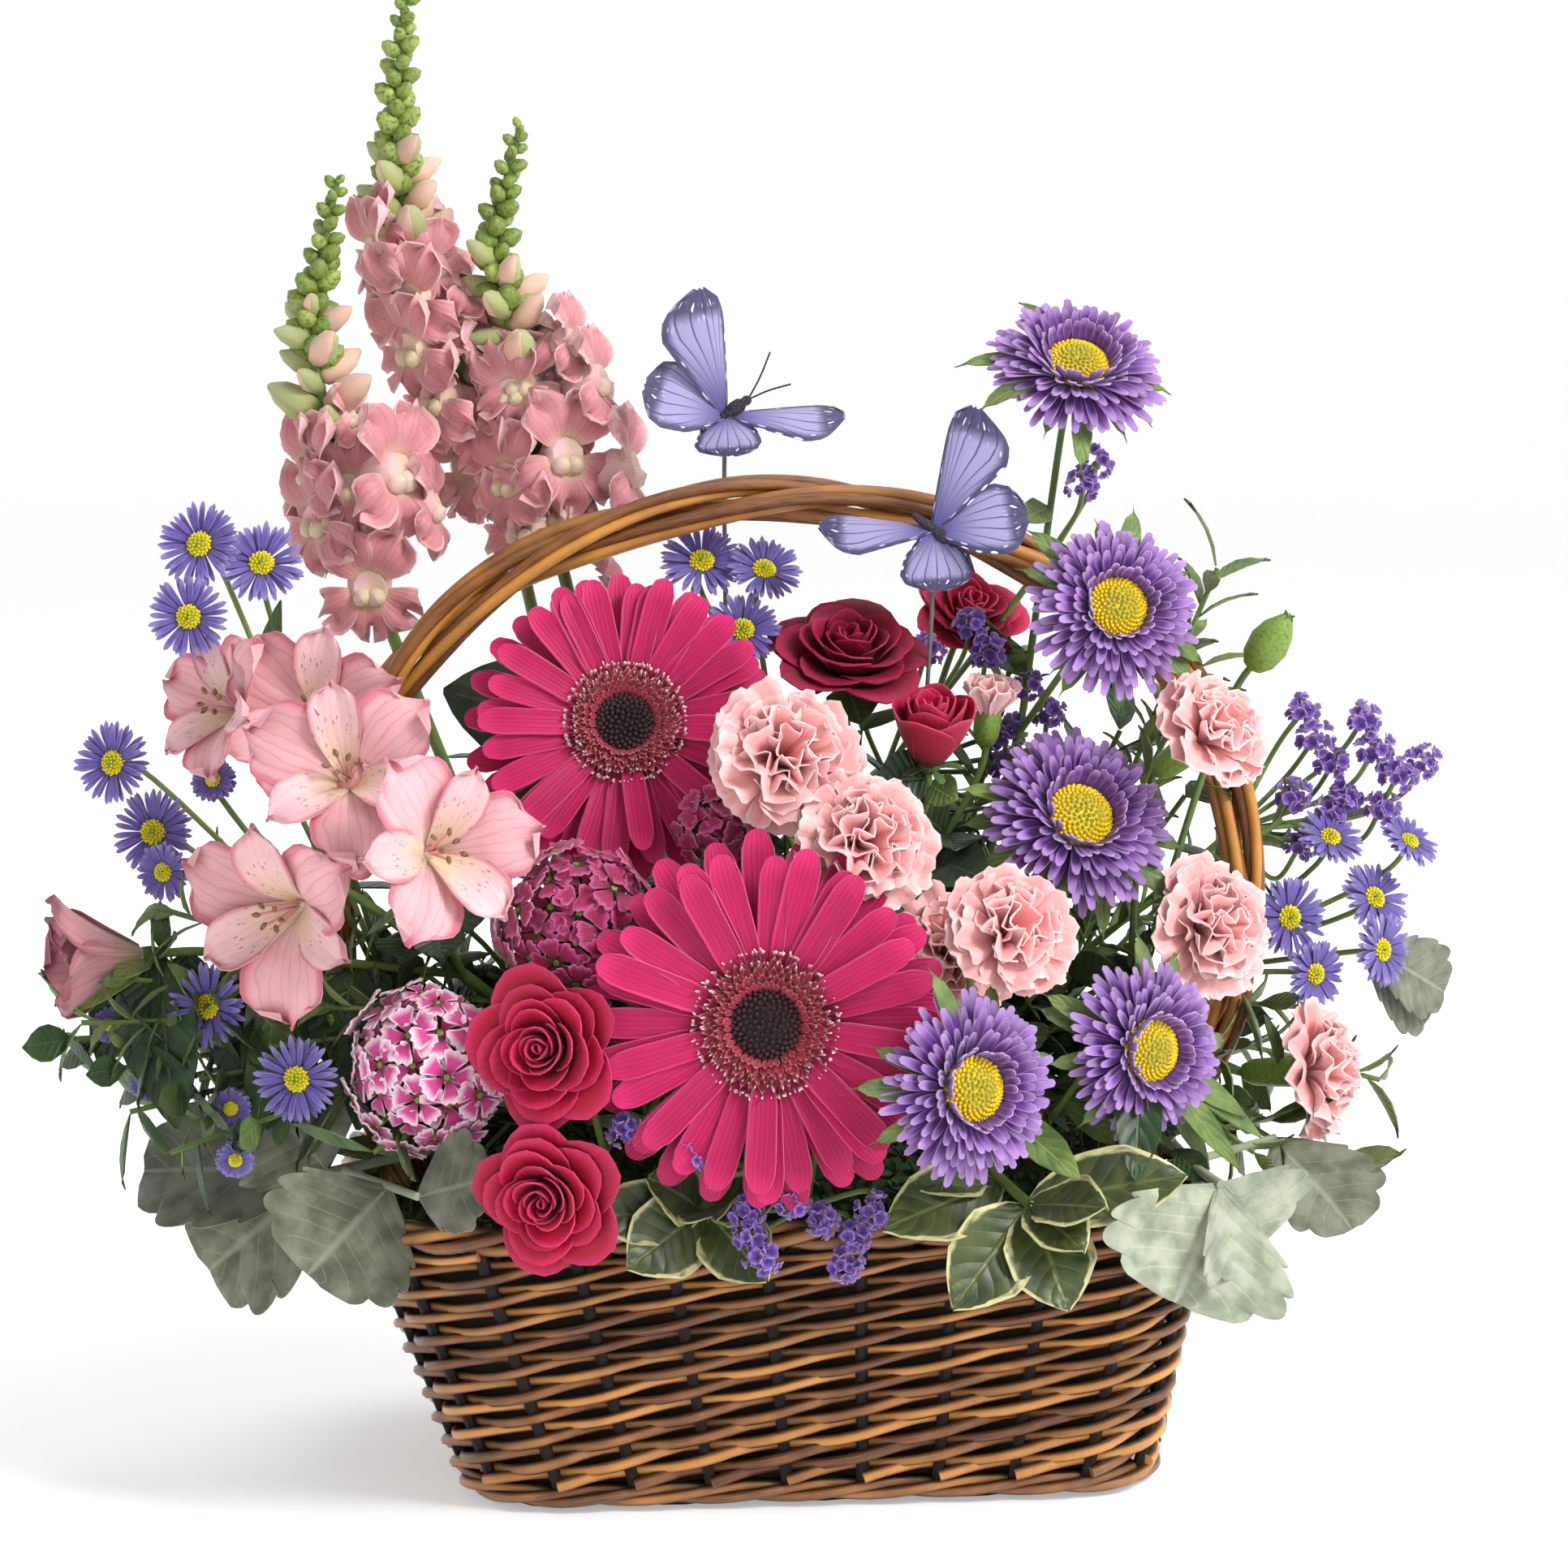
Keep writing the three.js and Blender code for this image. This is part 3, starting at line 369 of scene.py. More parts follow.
def rodTree():  # round rods along drawn lines; each point's "width" is the rod's radius there
    given = newShapes("rodsAlongLines", {"Lines": "Geometry", "Sides": 8, "Roughen": 0.1, "Lump Size": 12.0})
    spline = addNode("GeometryNodeSplineParameter", out=None)
    curve = storeValue(addNode("GeometryNodeMeshToCurve", {0: given["Lines"]}), "along", spline["Length"])
    lump = addNode("ShaderNodeTexNoise", {"Scale": divide(1.0, given["Lump Size"]), "Detail": 1.0})
    swell = times(minus(lump, 0.5), given["Roughen"])
    thick = times(readValue("width"), timesPlus(swell, 2.0, 1.0))
    section = addNode("GeometryNodeCurvePrimitiveCircle", {"Resolution": given["Sides"], "Radius": 1.0})
    section = storeValue(section, "round", spline["Factor"])
    inputs = {"Curve": curve, "Profile Curve": section, "Scale": thick, "Fill Caps": True}
    turn = times(readValue("round"), 2 * pi)
    place = combine(times(cosine(turn), grainRound), times(sine(turn), grainRound), readValue("along"))
    tube = addNode("GeometryNodeCurveToMesh", inputs)
    return closeShapes(storeValue(tube, "place", place, kind="FLOAT_VECTOR"), given)


def stemTree():  # copies of one shape up a stem, each turned on from the last
    given = newShapes("growAlongStem", {
        "Lines": "Geometry", "Shape": "Object", "Spacing": 8.0, "Tilt": radians(50), "Tilt Spread": radians(12),
        "First Size": 1.0, "Last Size": 0.6, "Size Spread": 0.12, "Stand Off": 1.0, "Seed": 1})
    seed = given["Seed"]
    curve = addNode("GeometryNodeMeshToCurve", {0: given["Lines"]})
    beads = addNode("GeometryNodeResampleCurve", {"Curve": curve, "Length": given["Spacing"]}, mode="LENGTH")
    tangent = addNode("GeometryNodeInputTangent")
    upright = addNode("FunctionNodeAlignRotationToVector", {"Vector": tangent}, axis="Z")
    around = times(addNode("GeometryNodeInputIndex"), goldenAngle)
    tilt = plus(given["Tilt"], swingBy(given["Tilt Spread"], seed))
    turn = turnOn(upright, 0.0, times(tilt, -1.0), around)
    share = addNode("GeometryNodeSplineParameter", out="Factor")
    size = addNode("ShaderNodeMix", {0: share, 2: given["First Size"], 3: given["Last Size"]}, data_type="FLOAT")
    size = times(size, aroundOne(given["Size Spread"], seed, 3.0))
    shape = addNode("GeometryNodeTransform", {"Geometry": shapeOf(given), "Translation": combine(given["Stand Off"])})
    return closeShapes(copyOnto(beads, shape, turn, size, randomBetween(0.0, 1.0, seed, 9.0)), given)


def tuftTree():  # small things scattered over a skin, standing off it at random
    given = newShapes("scatterOver", {
        "Ground": "Geometry", "Shape": "Object", "Density": 0.05, "Tilt Spread": radians(35), "Size Spread": 0.3,
        "Seed": 1})
    seed, spread = given["Seed"], given["Tilt Spread"]
    inputs = {"Mesh": given["Ground"], "Density": given["Density"], "Seed": seed}
    scatter = addNode("GeometryNodeDistributePointsOnFaces", inputs, out=None)
    spin = randomBetween(0.0, anyTurn, seed, 4.0)
    turn = turnOn(scatter["Rotation"], swingBy(spread, seed, 1.0), swingBy(spread, seed, 2.0), spin)
    size = aroundOne(given["Size Spread"], seed, 7.0)
    tone = randomBetween(0.0, 1.0, seed, 9.0)
    return closeShapes(copyOnto(scatter["Points"], shapeOf(given), turn, size, tone), given)


trees = {"ring": petalRingTree(), "dome": domeTree(), "rods": rodTree(), "stem": stemTree(), "tufts": tuftTree()}
angles = ("Lean", "Lean Spread", "Reach", "Tilt", "Tilt Spread")  # inputs that are given here in degrees


def growMesh(mesh, treeName, paint, *values, shape=None, **named):  # runs a tree on a mesh and gives back a part
    guide = showObject("guide", mesh)
    nodes = guide.modifiers.new("grow", "NODES")
    nodes.node_group = trees[treeName]
    inputs = {item.name: item for item in trees[treeName].interface.items_tree if item.in_out == "INPUT"}
    numbers = [name for name, item in inputs.items() if item.socket_type in ("NodeSocketInt", "NodeSocketFloat")]
    keys = {name[0].lower() + name[1:].replace(" ", ""): name for name in numbers}
    for name, value in {**dict(zip(numbers, values)), **{keys[key]: value for key, value in named.items()}}.items():
        whole = inputs[name].socket_type == "NodeSocketInt"
        nodes[inputs[name].identifier] = value if whole else radians(value) if name in angles else float(value)
    if shape is not None:
        shape = showObject("shape", meshOf("guide", shape))
        nodes[inputs["Shape"].identifier] = shape
    nodes[inputs["Material"].identifier] = paints[paintNumber(paint)]
    ready = guide.evaluated_get(bpy.context.evaluated_depsgraph_get())
    plain = bpy.data.meshes.new_from_object(ready)
    guide.modifiers.clear()
    part = readPart(plain, paint)
    bpy.data.meshes.remove(plain)
    for scaffold in (guide, shape):
        if scaffold is not None:
            bpy.data.objects.remove(scaffold)
    return part


def readPart(mesh, paint):
    count = len(mesh.vertices)
    part = {"co": np.zeros(count * 3), "loops": np.zeros(len(mesh.loops), np.int32),
            "sizes": np.zeros(len(mesh.polygons), np.int32), "place": np.zeros(count * 3),
            "tone": np.full(count, 0.5)}
    mesh.vertices.foreach_get("co", part["co"])
    mesh.loops.foreach_get("vertex_index", part["loops"])
    mesh.polygons.foreach_get("loop_total", part["sizes"])
    for name, kind in (("place", "vector"), ("tone", "value")):
        if name in mesh.attributes:
            mesh.attributes[name].data.foreach_get(kind, part[name])
    part["co"], part["place"] = part["co"].reshape(-1, 3), part["place"].reshape(-1, 3)
    part["paint"] = np.full(len(part["sizes"]), paintNumber(paint), np.int32)
    return part


def ringOf(petal, paint, *values, **named):
    return growMesh(meshOf("guide", petal), "ring", paint, *values, **named)


def domeOf(seedShape, paint, *values, **named):
    return growMesh(meshOf("guide", seedShape), "dome", paint, *values, **named)


def alongOf(lines, shapes, *values):
    mesh = [(points, 1, 0) for points in lines]
    return joinParts([growMesh(lineMesh(mesh), "stem", paint, *values, shape=shape) for shape, paint in shapes])


def tuftsOf(ground, shape, paint, *values):
    return growMesh(meshOf("guide", ground), "tufts", paint, *values, shape=shape)


def rodsOf(lines, paint, *values, **named):
    return growMesh(lineMesh(lines), "rods", paint, *values, **named)


def lineMesh(lines):  # (points, radius or radii, tone) as loose edges
    mesh = bpy.data.meshes.new("lines")
    counts = [len(points) for points, _, _ in lines]
    starts = np.cumsum([0] + counts)
    edges = np.concatenate([np.stack([np.arange(n - 1), np.arange(1, n)], axis=1) + s
                            for n, s in zip(counts, starts)])
    mesh.vertices.add(int(starts[-1]))
    mesh.vertices.foreach_set("co", np.concatenate([points for points, _, _ in lines]).ravel())
    mesh.edges.add(len(edges))
    mesh.edges.foreach_set("vertices", edges.ravel().astype(np.int32))
    width = np.concatenate([np.broadcast_to(radius, n) for (_, radius, _), n in zip(lines, counts)])
    tone = np.concatenate([np.full(n, t) for (_, _, t), n in zip(lines, counts)])
    for name, value in (("width", width), ("tone", tone)):
        mesh.attributes.new(name, "FLOAT", "POINT").data.foreach_set("value", value.astype(float))
    mesh.update()
    return mesh


# ---- finishes

def newGroup(name, inputs, outputs):
    return newTree(name, "ShaderNodeTree", inputs, outputs)


def colour(code):  # a colour as it is seen, turned into linear light
    parts = [int(code[k:k + 2], 16) / 255 for k in (1, 3, 5)]
    return tuple(p / 12.92 if p < 0.04045 else ((p + 0.055) / 1.055) ** 2.4 for p in parts) + (1.0,)


def softStep(value, low, high):
    inputs = {"Value": value, "From Min": low, "From Max": high}
    return addNode("ShaderNodeMapRange", inputs, interpolation_type="SMOOTHSTEP")


def mixColour(share, first, second, blend="MIX"):  # a colour is a socket or a code
    first, second = [colour(tint) if isinstance(tint, str) else tint for tint in (first, second)]
    return addNode("ShaderNodeMix", {0: share, 6: first, 7: second}, out=2, data_type="RGBA", blend_type=blend)


def splitPlace(vector):
    return addNode("ShaderNodeSeparateXYZ", {0: vector}, out=None)


def noiseAt(scale, detail=3.0):  # noise in the object's own space, so many blobs to the metre
    own = addNode("ShaderNodeTexCoord", out="Object")
    return addNode("ShaderNodeTexNoise", {"Vector": own, "Scale": scale, "Detail": detail})


def petalTintGroup():  # base, tip, edge and veins of a petal, from its own place values
    given = newGroup("petalTint", {
        "Place": "Vector", "Tone": 0.5, "Body": "Color", "Base": "Color", "Edge": "Color", "Base Reach": 0.4,
        "Edge Width": 0.2, "Edge Tip": 0.5, "Veins": 7.0, "Vein Depth": 0.2, "Tone Spread": 0.2, "Pale Back": 0.25,
    }, {"Color": "Color", "Height": "Float"})
    across, along, under = splitPlace(given["Place"])
    tipShare = softStep(along, minus(1.0, given["Edge Tip"]), 1.0)
    sideShare = softStep(absolute(across), minus(1.0, given["Edge Width"]), 1.0)
    rim = larger(tipShare, times(sideShare, softStep(along, 0.15, 0.6)))
    shade = mixColour(softStep(along, given["Base Reach"], 0.0), given["Body"], given["Base"])
    shade = mixColour(rim, shade, given["Edge"])
    wander = addNode("ShaderNodeTexNoise", {"Vector": given["Place"], "Scale": 3.0, "Detail": 2.0})
    wave = timesPlus(across, given["Veins"], times(wander, 1.2))
    ridge = absolute(sine(times(wave, pi)))
    # veins darkened: partly their own colour, partly painted shade in the furrows of the bump
    depth = times(softStep(ridge, 0.45, 0.0), given["Vein Depth"])
    shade = mixColour(depth, shade, mixColour(1.0, shade, (0.35, 0.3, 0.35, 1), "MULTIPLY"))
    cloud = noiseAt(160.0)
    light = timesPlus(minus(given["Tone"], 0.5), given["Tone Spread"], 1.0)
    light = timesPlus(minus(cloud, 0.5), 0.25, light)
    vary = addNode("ShaderNodeHueSaturation", {"Value": light, "Color": shade})
    paler = mixColour(times(under, given["Pale Back"]), vary, (0.95, 0.85, 0.85, 1))
    return fillSockets(work["end"], {"Color": paler, "Height": timesPlus(ridge, 0.5, times(cloud, 0.3))})


def leafVeinGroup():  # a mid rib with side veins, as masks
    given = newGroup("leafVeins", {"Place": "Vector", "Side Veins": 7.0, "Slant": 0.25},
                     {"Vein": "Float", "Height": "Float"})
    across, along, _ = splitPlace(given["Place"])
    side = absolute(across)
    rib = softStep(side, 0.09, 0.0)
    climb = minus(along, times(side, given["Slant"]))
    wave = absolute(sine(times(times(climb, given["Side Veins"]), pi)))
    branch = times(softStep(wave, 0.22, 0.0), softStep(side, 1.0, 0.4))
    return fillSockets(work["end"], {"Vein": larger(rib, times(branch, 0.6)), "Height": minus(wave, times(rib, 1.2))})


def barkGrainGroup():  # long streaks and blotches along a rod
    given = newGroup("barkGrain", {"Place": "Vector", "Streak": 0.05, "Fineness": 2.0},
                     {"Streaks": "Float", "Blotch": "Float", "Height": "Float"})
    across, side, along = splitPlace(given["Place"])
    longWay = combine(across, side, times(along, given["Streak"]))
    inputs = {"Vector": longWay, "Scale": given["Fineness"], "Detail": 4.0, "Roughness": 0.6}
    streak = addNode("ShaderNodeTexNoise", inputs)
    blotch = noiseAt(55.0)
    height = timesPlus(streak, 0.8, times(blotch, 0.2))
    return fillSockets(work["end"], {"Streaks": streak, "Blotch": blotch, "Height": height})


groups = {"petal": petalTintGroup(), "leaf": leafVeinGroup(), "bark": barkGrainGroup()}


def newPaint(name):
    material = bpy.data.materials.new(name)
    material.use_nodes = True
    paints.append(material)
    work["tree"], work["end"] = material.node_tree, material.node_tree.nodes["Principled BSDF"]
    place = addNode("ShaderNodeAttribute", out="Vector", attribute_name="place")
    return place, addNode("ShaderNodeAttribute", out="Fac", attribute_name="tone")


def spaced(values):
    return {key.replace("_", " "): value for key, value in values.items()}


def useGroup(group, **values):
    return addNode("ShaderNodeGroup", spaced(values), out=None, node_tree=groups[group])


def finishPaint(shade, bump=None, **values):  # bump: a height, its strength and its distance in metres
    shade = colour(shade) if isinstance(shade, str) else shade
    fillSockets(work["end"], {"Base Color": shade, **spaced(values)})
    if bump:
        given = dict(zip(("Height", "Strength", "Distance"), bump))
        fillSockets(work["end"], {"Normal": addNode("ShaderNodeBump", given)})


petalPaints = {  # colours of the body, the base and the edge, veins across, their depth, and what else differs
    "gerberaPink": ("#b40e54", "#5c0828", "#cc2468", 3.0, 0.5, {"sheen": 0.1}),
    "gerberaRing": ("#9a2038", "#5a1020", "#c06068", 2.0, 0.3, {"tip": 0.25}),
    "gerberaStamen": ("#c9808a", "#6d1f30", "#f0dcd0", 0.5, 0.0, {"tip": 0.5}),
    # the roses' near-black bases are painted shade deep in the bloom, and their paler edges painted light on the rims
    "roseCerise": ("#a80c34", "#420516", "#c4265a", 5.0, 0.12,
                   {"tip": 0.14, "width": 0.08, "reach": 0.45, "sheen": 0.05, "back": 0.02}),
    "roseDark": ("#7c0a2c", "#34040e", "#98163f", 5.0, 0.12,
                 {"tip": 0.14, "width": 0.08, "reach": 0.5, "sheen": 0.02, "back": 0.0}),
    "carnationPink": ("#f6b4b2", "#ea8482", "#f8cccc", 4.0, 0.08, {"tip": 0.1, "width": 0.1, "reach": 0.65}),
    "asterPurple": ("#6a388e", "#36195e", "#a884c2", 2.0, 0.2, {"tip": 0.4, "spread": 0.45}),
    "alstroPink": ("#e6aab0", "#f2dccc", "#c86a7e", 4.0, 0.25, {"tip": 0.16, "width": 0.3, "reach": 0.45}),
    "alstroDusk": ("#b57880", "#8c7a58", "#96505e", 5.0, 0.35, {"back": 0.05}),
    "snapPink": ("#cc868c", "#dcb89c", "#e6b0b2", 4.0, 0.25, {"reach": 0.35, "spread": 0.35}),
    "snapLip": ("#dcc09c", "#d0c088", "#e4c0b0", 3.0, 0.1, {}),
    "snapCream": ("#c8c084", "#94a04c", "#dcae94", 3.0, 0.1, {"reach": 0.5}),
    "monteBlue": ("#6354a2", "#43347e", "#8a7ebc", 1.5, 0.2, {"tip": 0.4}),
    "staticeViolet": ("#6440a0", "#7a60a8", "#8c68bc", 3.0, 0.3, {"tip": 0.4}),
    "williamPink": ("#d0408c", "#7e1238", "#f4d6e4", 4.0, 0.15, {"tip": 0.4, "width": 0.3, "reach": 0.55}),
    "williamDark": ("#98184c", "#4c0820", "#c0508a", 4.0, 0.2, {"tip": 0.25, "reach": 0.55}),
}
petalUsual = {"tip": 0.2, "width": 0.2, "reach": 0.4, "sheen": 0.2, "spread": 0.25, "back": 0.25}
petalBump = (0.5, 0.0003)


def petalPaint(name, body, base, edge, veins, depth, unlike):
    place, tone = newPaint(name)
    look = petalUsual | unlike
    tint = useGroup("petal", Place=place, Tone=tone, Body=colour(body), Base=colour(base), Edge=colour(edge),
                    Base_Reach=look["reach"], Edge_Width=look["width"], Edge_Tip=look["tip"], Veins=veins,
                    Vein_Depth=depth, Tone_Spread=look["spread"], Pale_Back=look["back"])
    finishPaint(tint["Color"], (tint["Height"], *petalBump), Roughness=0.55, Specular_IOR_Level=0.3,
                Sheen_Weight=look["sheen"], Subsurface_Weight=0.2, Subsurface_Radius=(1.0, 0.6, 0.6),
                Subsurface_Scale=0.002)


leafPaints = {  # colours of the body, the dark clouds and the veins, roughness, sheen, and a margin's colour
    "leafGreen": ("#4d6a2c", "#2c4420", "#7d9450", 0.5),
    "leafDark": ("#2c4a24", "#1a2f1a", "#4d6a3a", 0.42),
    "asterLeaf": ("#6f8440", "#46602c", "#97a560", 0.55),
    "pittosporumLeaf": ("#465222", "#273314", "#747e40", 0.4, 0.1, "#c2be88"),
    "mossGreen": ("#3f5020", "#1e2c12", "#5c6c30", 0.9),
    # near black moss: painted shade inside the basket
    "mossDark": ("#17140c", "#0c0a06", "#221d10", 0.95),
    # one felted leaf in two copies: the darker is painted shade, the paler painted light
    "feltLeaf": ("#7d7f6c", "#545846", "#9c9e8a", 0.9, 0.4),
    "mintLeaf": ("#a8ae98", "#7d8570", "#c2c8b4", 0.9, 0.4),
}


def leafPaint(name, body, dark, vein, rough, sheen=0.1, margin=None):
    place, tone = newPaint(name)
    veins = useGroup("leaf", Place=place)
    across, _, under = splitPlace(place)
    cloud = noiseAt(130.0, 4.0)
    shade = mixColour(softStep(cloud, 0.3, 0.7), body, dark)
    shade = mixColour(times(veins["Vein"], 0.6), shade, vein)
    if margin:  # a pale margin that wanders in and out
        wander = addNode("ShaderNodeTexNoise", {"Vector": place, "Scale": 4.0, "Detail": 3.0})
        side = timesPlus(wander, 0.5, absolute(across))
        shade = mixColour(softStep(side, 1.06, 1.18), shade, margin)
    light = timesPlus(minus(tone, 0.5), 0.5, 1.0)
    shade = addNode("ShaderNodeHueSaturation", {"Value": light, "Color": shade})
    shade = mixColour(times(under, 0.3), shade, vein)
    finishPaint(shade, (veins["Height"], 0.5, 0.0004), Roughness=timesPlus(cloud, 0.2, rough - 0.1),
                Sheen_Weight=sheen)


def barkPaint(name, light, middle, dark, rough, coat=0.0, fineness=2.0, blotch=0.6, groove=0.0):
    place, tone = newPaint(name)
    grain = useGroup("bark", Place=place, Fineness=fineness)
    shade = mixColour(softStep(grain["Streaks"], 0.3, 0.7), dark, middle)
    lift = plus(times(grain["Blotch"], blotch), times(tone, 0.6))
    shade = mixColour(softStep(lift, 0.35, 0.95), shade, light)
    if groove:  # painted shade: the upper and lower sides of a weaver, which lie in the dark of the weave, are painted near black
        facing = splitPlace(addNode("ShaderNodeNewGeometry", out="Normal"))
        steep = softStep(absolute(facing[2]), 0.3, 0.95)
        shade = mixColour(times(steep, groove), shade, "#180a03")
    finishPaint(shade, (grain["Height"], 0.6, 0.0006), Roughness=timesPlus(grain["Blotch"], 0.3, rough - 0.15),
                Coat_Weight=coat, Coat_Roughness=0.35)


def seedPaint(name, inner, outer, dark, rough=0.7):  # bumps of a disc: one colour in the middle, one round it
    _, tone = newPaint(name)
    shade = mixColour(softStep(tone, 0.1, 0.5), inner, outer)
    cloud = noiseAt(900.0, 2.0)
    finishPaint(mixColour(softStep(cloud, 0.45, 0.75), shade, dark), (cloud, 0.4, 0.0004), Roughness=rough)


barkPaints = {  # light, middle and dark colours, roughness, and what else differs; groove is painted shade on the weavers' upper and lower sides
    "willowBrown": ("#e29a4a", "#8e4e14", "#2a1204", 0.38, {"coat": 0.35, "groove": 0.9}),
    "willowDark": ("#24120a", "#180b05", "#0c0502", 0.8, {}),
    "handleWillow": ("#e09a40", "#9c5a1c", "#2e1204", 0.36, {"coat": 0.35, "fineness": 3.0, "blotch": 0.55}),
    "stemGreen": ("#86a04c", "#5f7c34", "#42602a", 0.5, {"coat": 0.05}),
    "stemFelt": ("#b4bca0", "#979f84", "#747c62", 0.85, {}),
    "wire": ("#8a8a84", "#6a6a66", "#444440", 0.4, {}),
}
seedPaints = {  # colours in the middle, round it and in the hollows
    "asterDisc": ("#a0a23a", "#f0d010", "#d8b410"),
    "monteDisc": ("#c2c21a", "#e8dc10", "#c0ac10"),
    "gerberaHeart": ("#1c0c0e", "#3a1018", "#0c0506"),
    "pollenPale": ("#e8cfc0", "#f0dcd0", "#b87878"),
    "stamenTip": ("#6a4a34", "#8a6a44", "#3a2a1c"),
    "budGreen": ("#7c9a3a", "#6c8a34", "#4f6c28", 0.5),
    "spikeBud": ("#98a650", "#7a8e3c", "#48601f", 0.5),
}

for name, look in leafPaints.items():
    leafPaint(name, *look)
for name, look in petalPaints.items():
    petalPaint(name, *look)
for name, (*look, unlike) in barkPaints.items():
    barkPaint(name, *look, **unlike)
for name, look in seedPaints.items():
    seedPaint(name, *look)
print("finishes made:", len(paints))


def foamPaint():
    newPaint("foamGreen")
    spot = noiseAt(500.0, 4.0)
    shade = mixColour(softStep(spot, 0.35, 0.65), "#27401f", "#3f5f35")
    shade = mixColour(softStep(noiseAt(40.0), 0.4, 0.7), shade, "#2c3f22")
    finishPaint(shade, (spot, 0.8, 0.001), Roughness=0.95)


def linerPaint():
    newPaint("linerGreen")
    scuff = noiseAt(220.0, 5.0)
    shade = mixColour(softStep(scuff, 0.4, 0.8), "#243424", "#3c4e3a")
    finishPaint(shade, (scuff, 0.2, 0.0003), Roughness=timesPlus(scuff, 0.3, 0.25))


def wingPaint():  # lavender wings with dark veins, a dark margin and pale spots in it
    place, _ = newPaint("wingLavender")
    across, along, _ = splitPlace(place)
    rays = absolute(sine(times(divide(across, plus(along, 0.25)), 9.0)))
    vein = times(softStep(rays, 0.3, 0.05), softStep(along, 0.1, 0.5))
    margin = larger(softStep(along, 0.72, 0.86), softStep(absolute(across), 0.7, 0.92))
    cells = addNode("ShaderNodeTexVoronoi", {"Vector": place, "Scale": 7.0, "Randomness": 0.4}, out="Distance")
    shade = mixColour(softStep(along, 0.0, 0.6), "#4d4686", "#9892be")
    shade = mixColour(times(vein, 0.85), shade, "#2a2448")
    shade = mixColour(times(margin, 0.9), shade, "#2c2850")
    shade = mixColour(times(softStep(cells, 0.32, 0.2), margin), shade, "#e6e2f2")
    finishPaint(shade, (rays, 0.3, 0.0003), Roughness=0.6)


foamPaint()
linerPaint()
wingPaint()

# ---- the basket

basket = {
    "height": 88, "foot": (105, 65, 30), "mouth": (130, 88, 42), "lean": -8.5, "stakes": 28, "stake": 1.9,
    "weave": (9.0, 84.0), "climb": 3.75, "rod": 1.78, "middle": -1.85, "sway": 2.5, "stroke": 0.9, "bends": 7,
    "borders": [(9, 5.2, 1.8, 2.1, 0.85), (14, 88.6, 2.2, 2.6, 1)],  # turns, height, rod, swing and flatness
    "borderRods": 3, "floorRings": 4, "floorSpokes": 9,
}


def outlinePoints(shares, x, y, corner):  # points and outward directions round a rounded rectangle, anticlockwise
    quarter = pi / 2 * corner
    sides = [quarter, 2 * (x - corner), quarter, 2 * (y - corner)] * 2
    ends = np.cumsum(sides)
    points, outs = [], []
    for share in shares:
        way = (share % 1.0) * ends[-1]
        k = int(np.searchsorted(ends, way, side="right"))
        rest, part, flip = way - (ends[k] - sides[k]), k % 4, 1 if k < 4 else -1
        if part == 1:
            p, o = (x - corner - rest, y), (0, 1)
        elif part == 3:
            p, o = (-x, y - corner - rest), (-1, 0)
        else:
            a = part * pi / 4 + rest / corner
            o = (cos(a), sin(a))
            p = ((x - corner) * (1 - part) + corner * o[0], y - corner + corner * o[1])
        points.append((flip * p[0], flip * p[1]))
        outs.append((flip * o[0], flip * o[1]))
    return np.array(points), np.array(outs)


def sizeAt(spec, k):  # half width, half depth and corner at a share of the height
    return [low + (high - low) * k for low, high in zip(spec["foot"], spec["mouth"])]


def wallPoint(share, z, push):  # a point of the basket's wall: share of the way round, height, push outwards
    share, z, push = np.broadcast_arrays(np.asarray(share, float), z, push)
    found = []
    for s, h, out in zip(share.ravel(), z.ravel(), push.ravel()):
        k = h / basket["height"]
        (point,), (away,) = outlinePoints([s], *sizeAt(basket, k))
        found.append((point[0] + away[0] * out + basket["lean"] * k, point[1] + away[1] * out, h))
    return np.array(found)


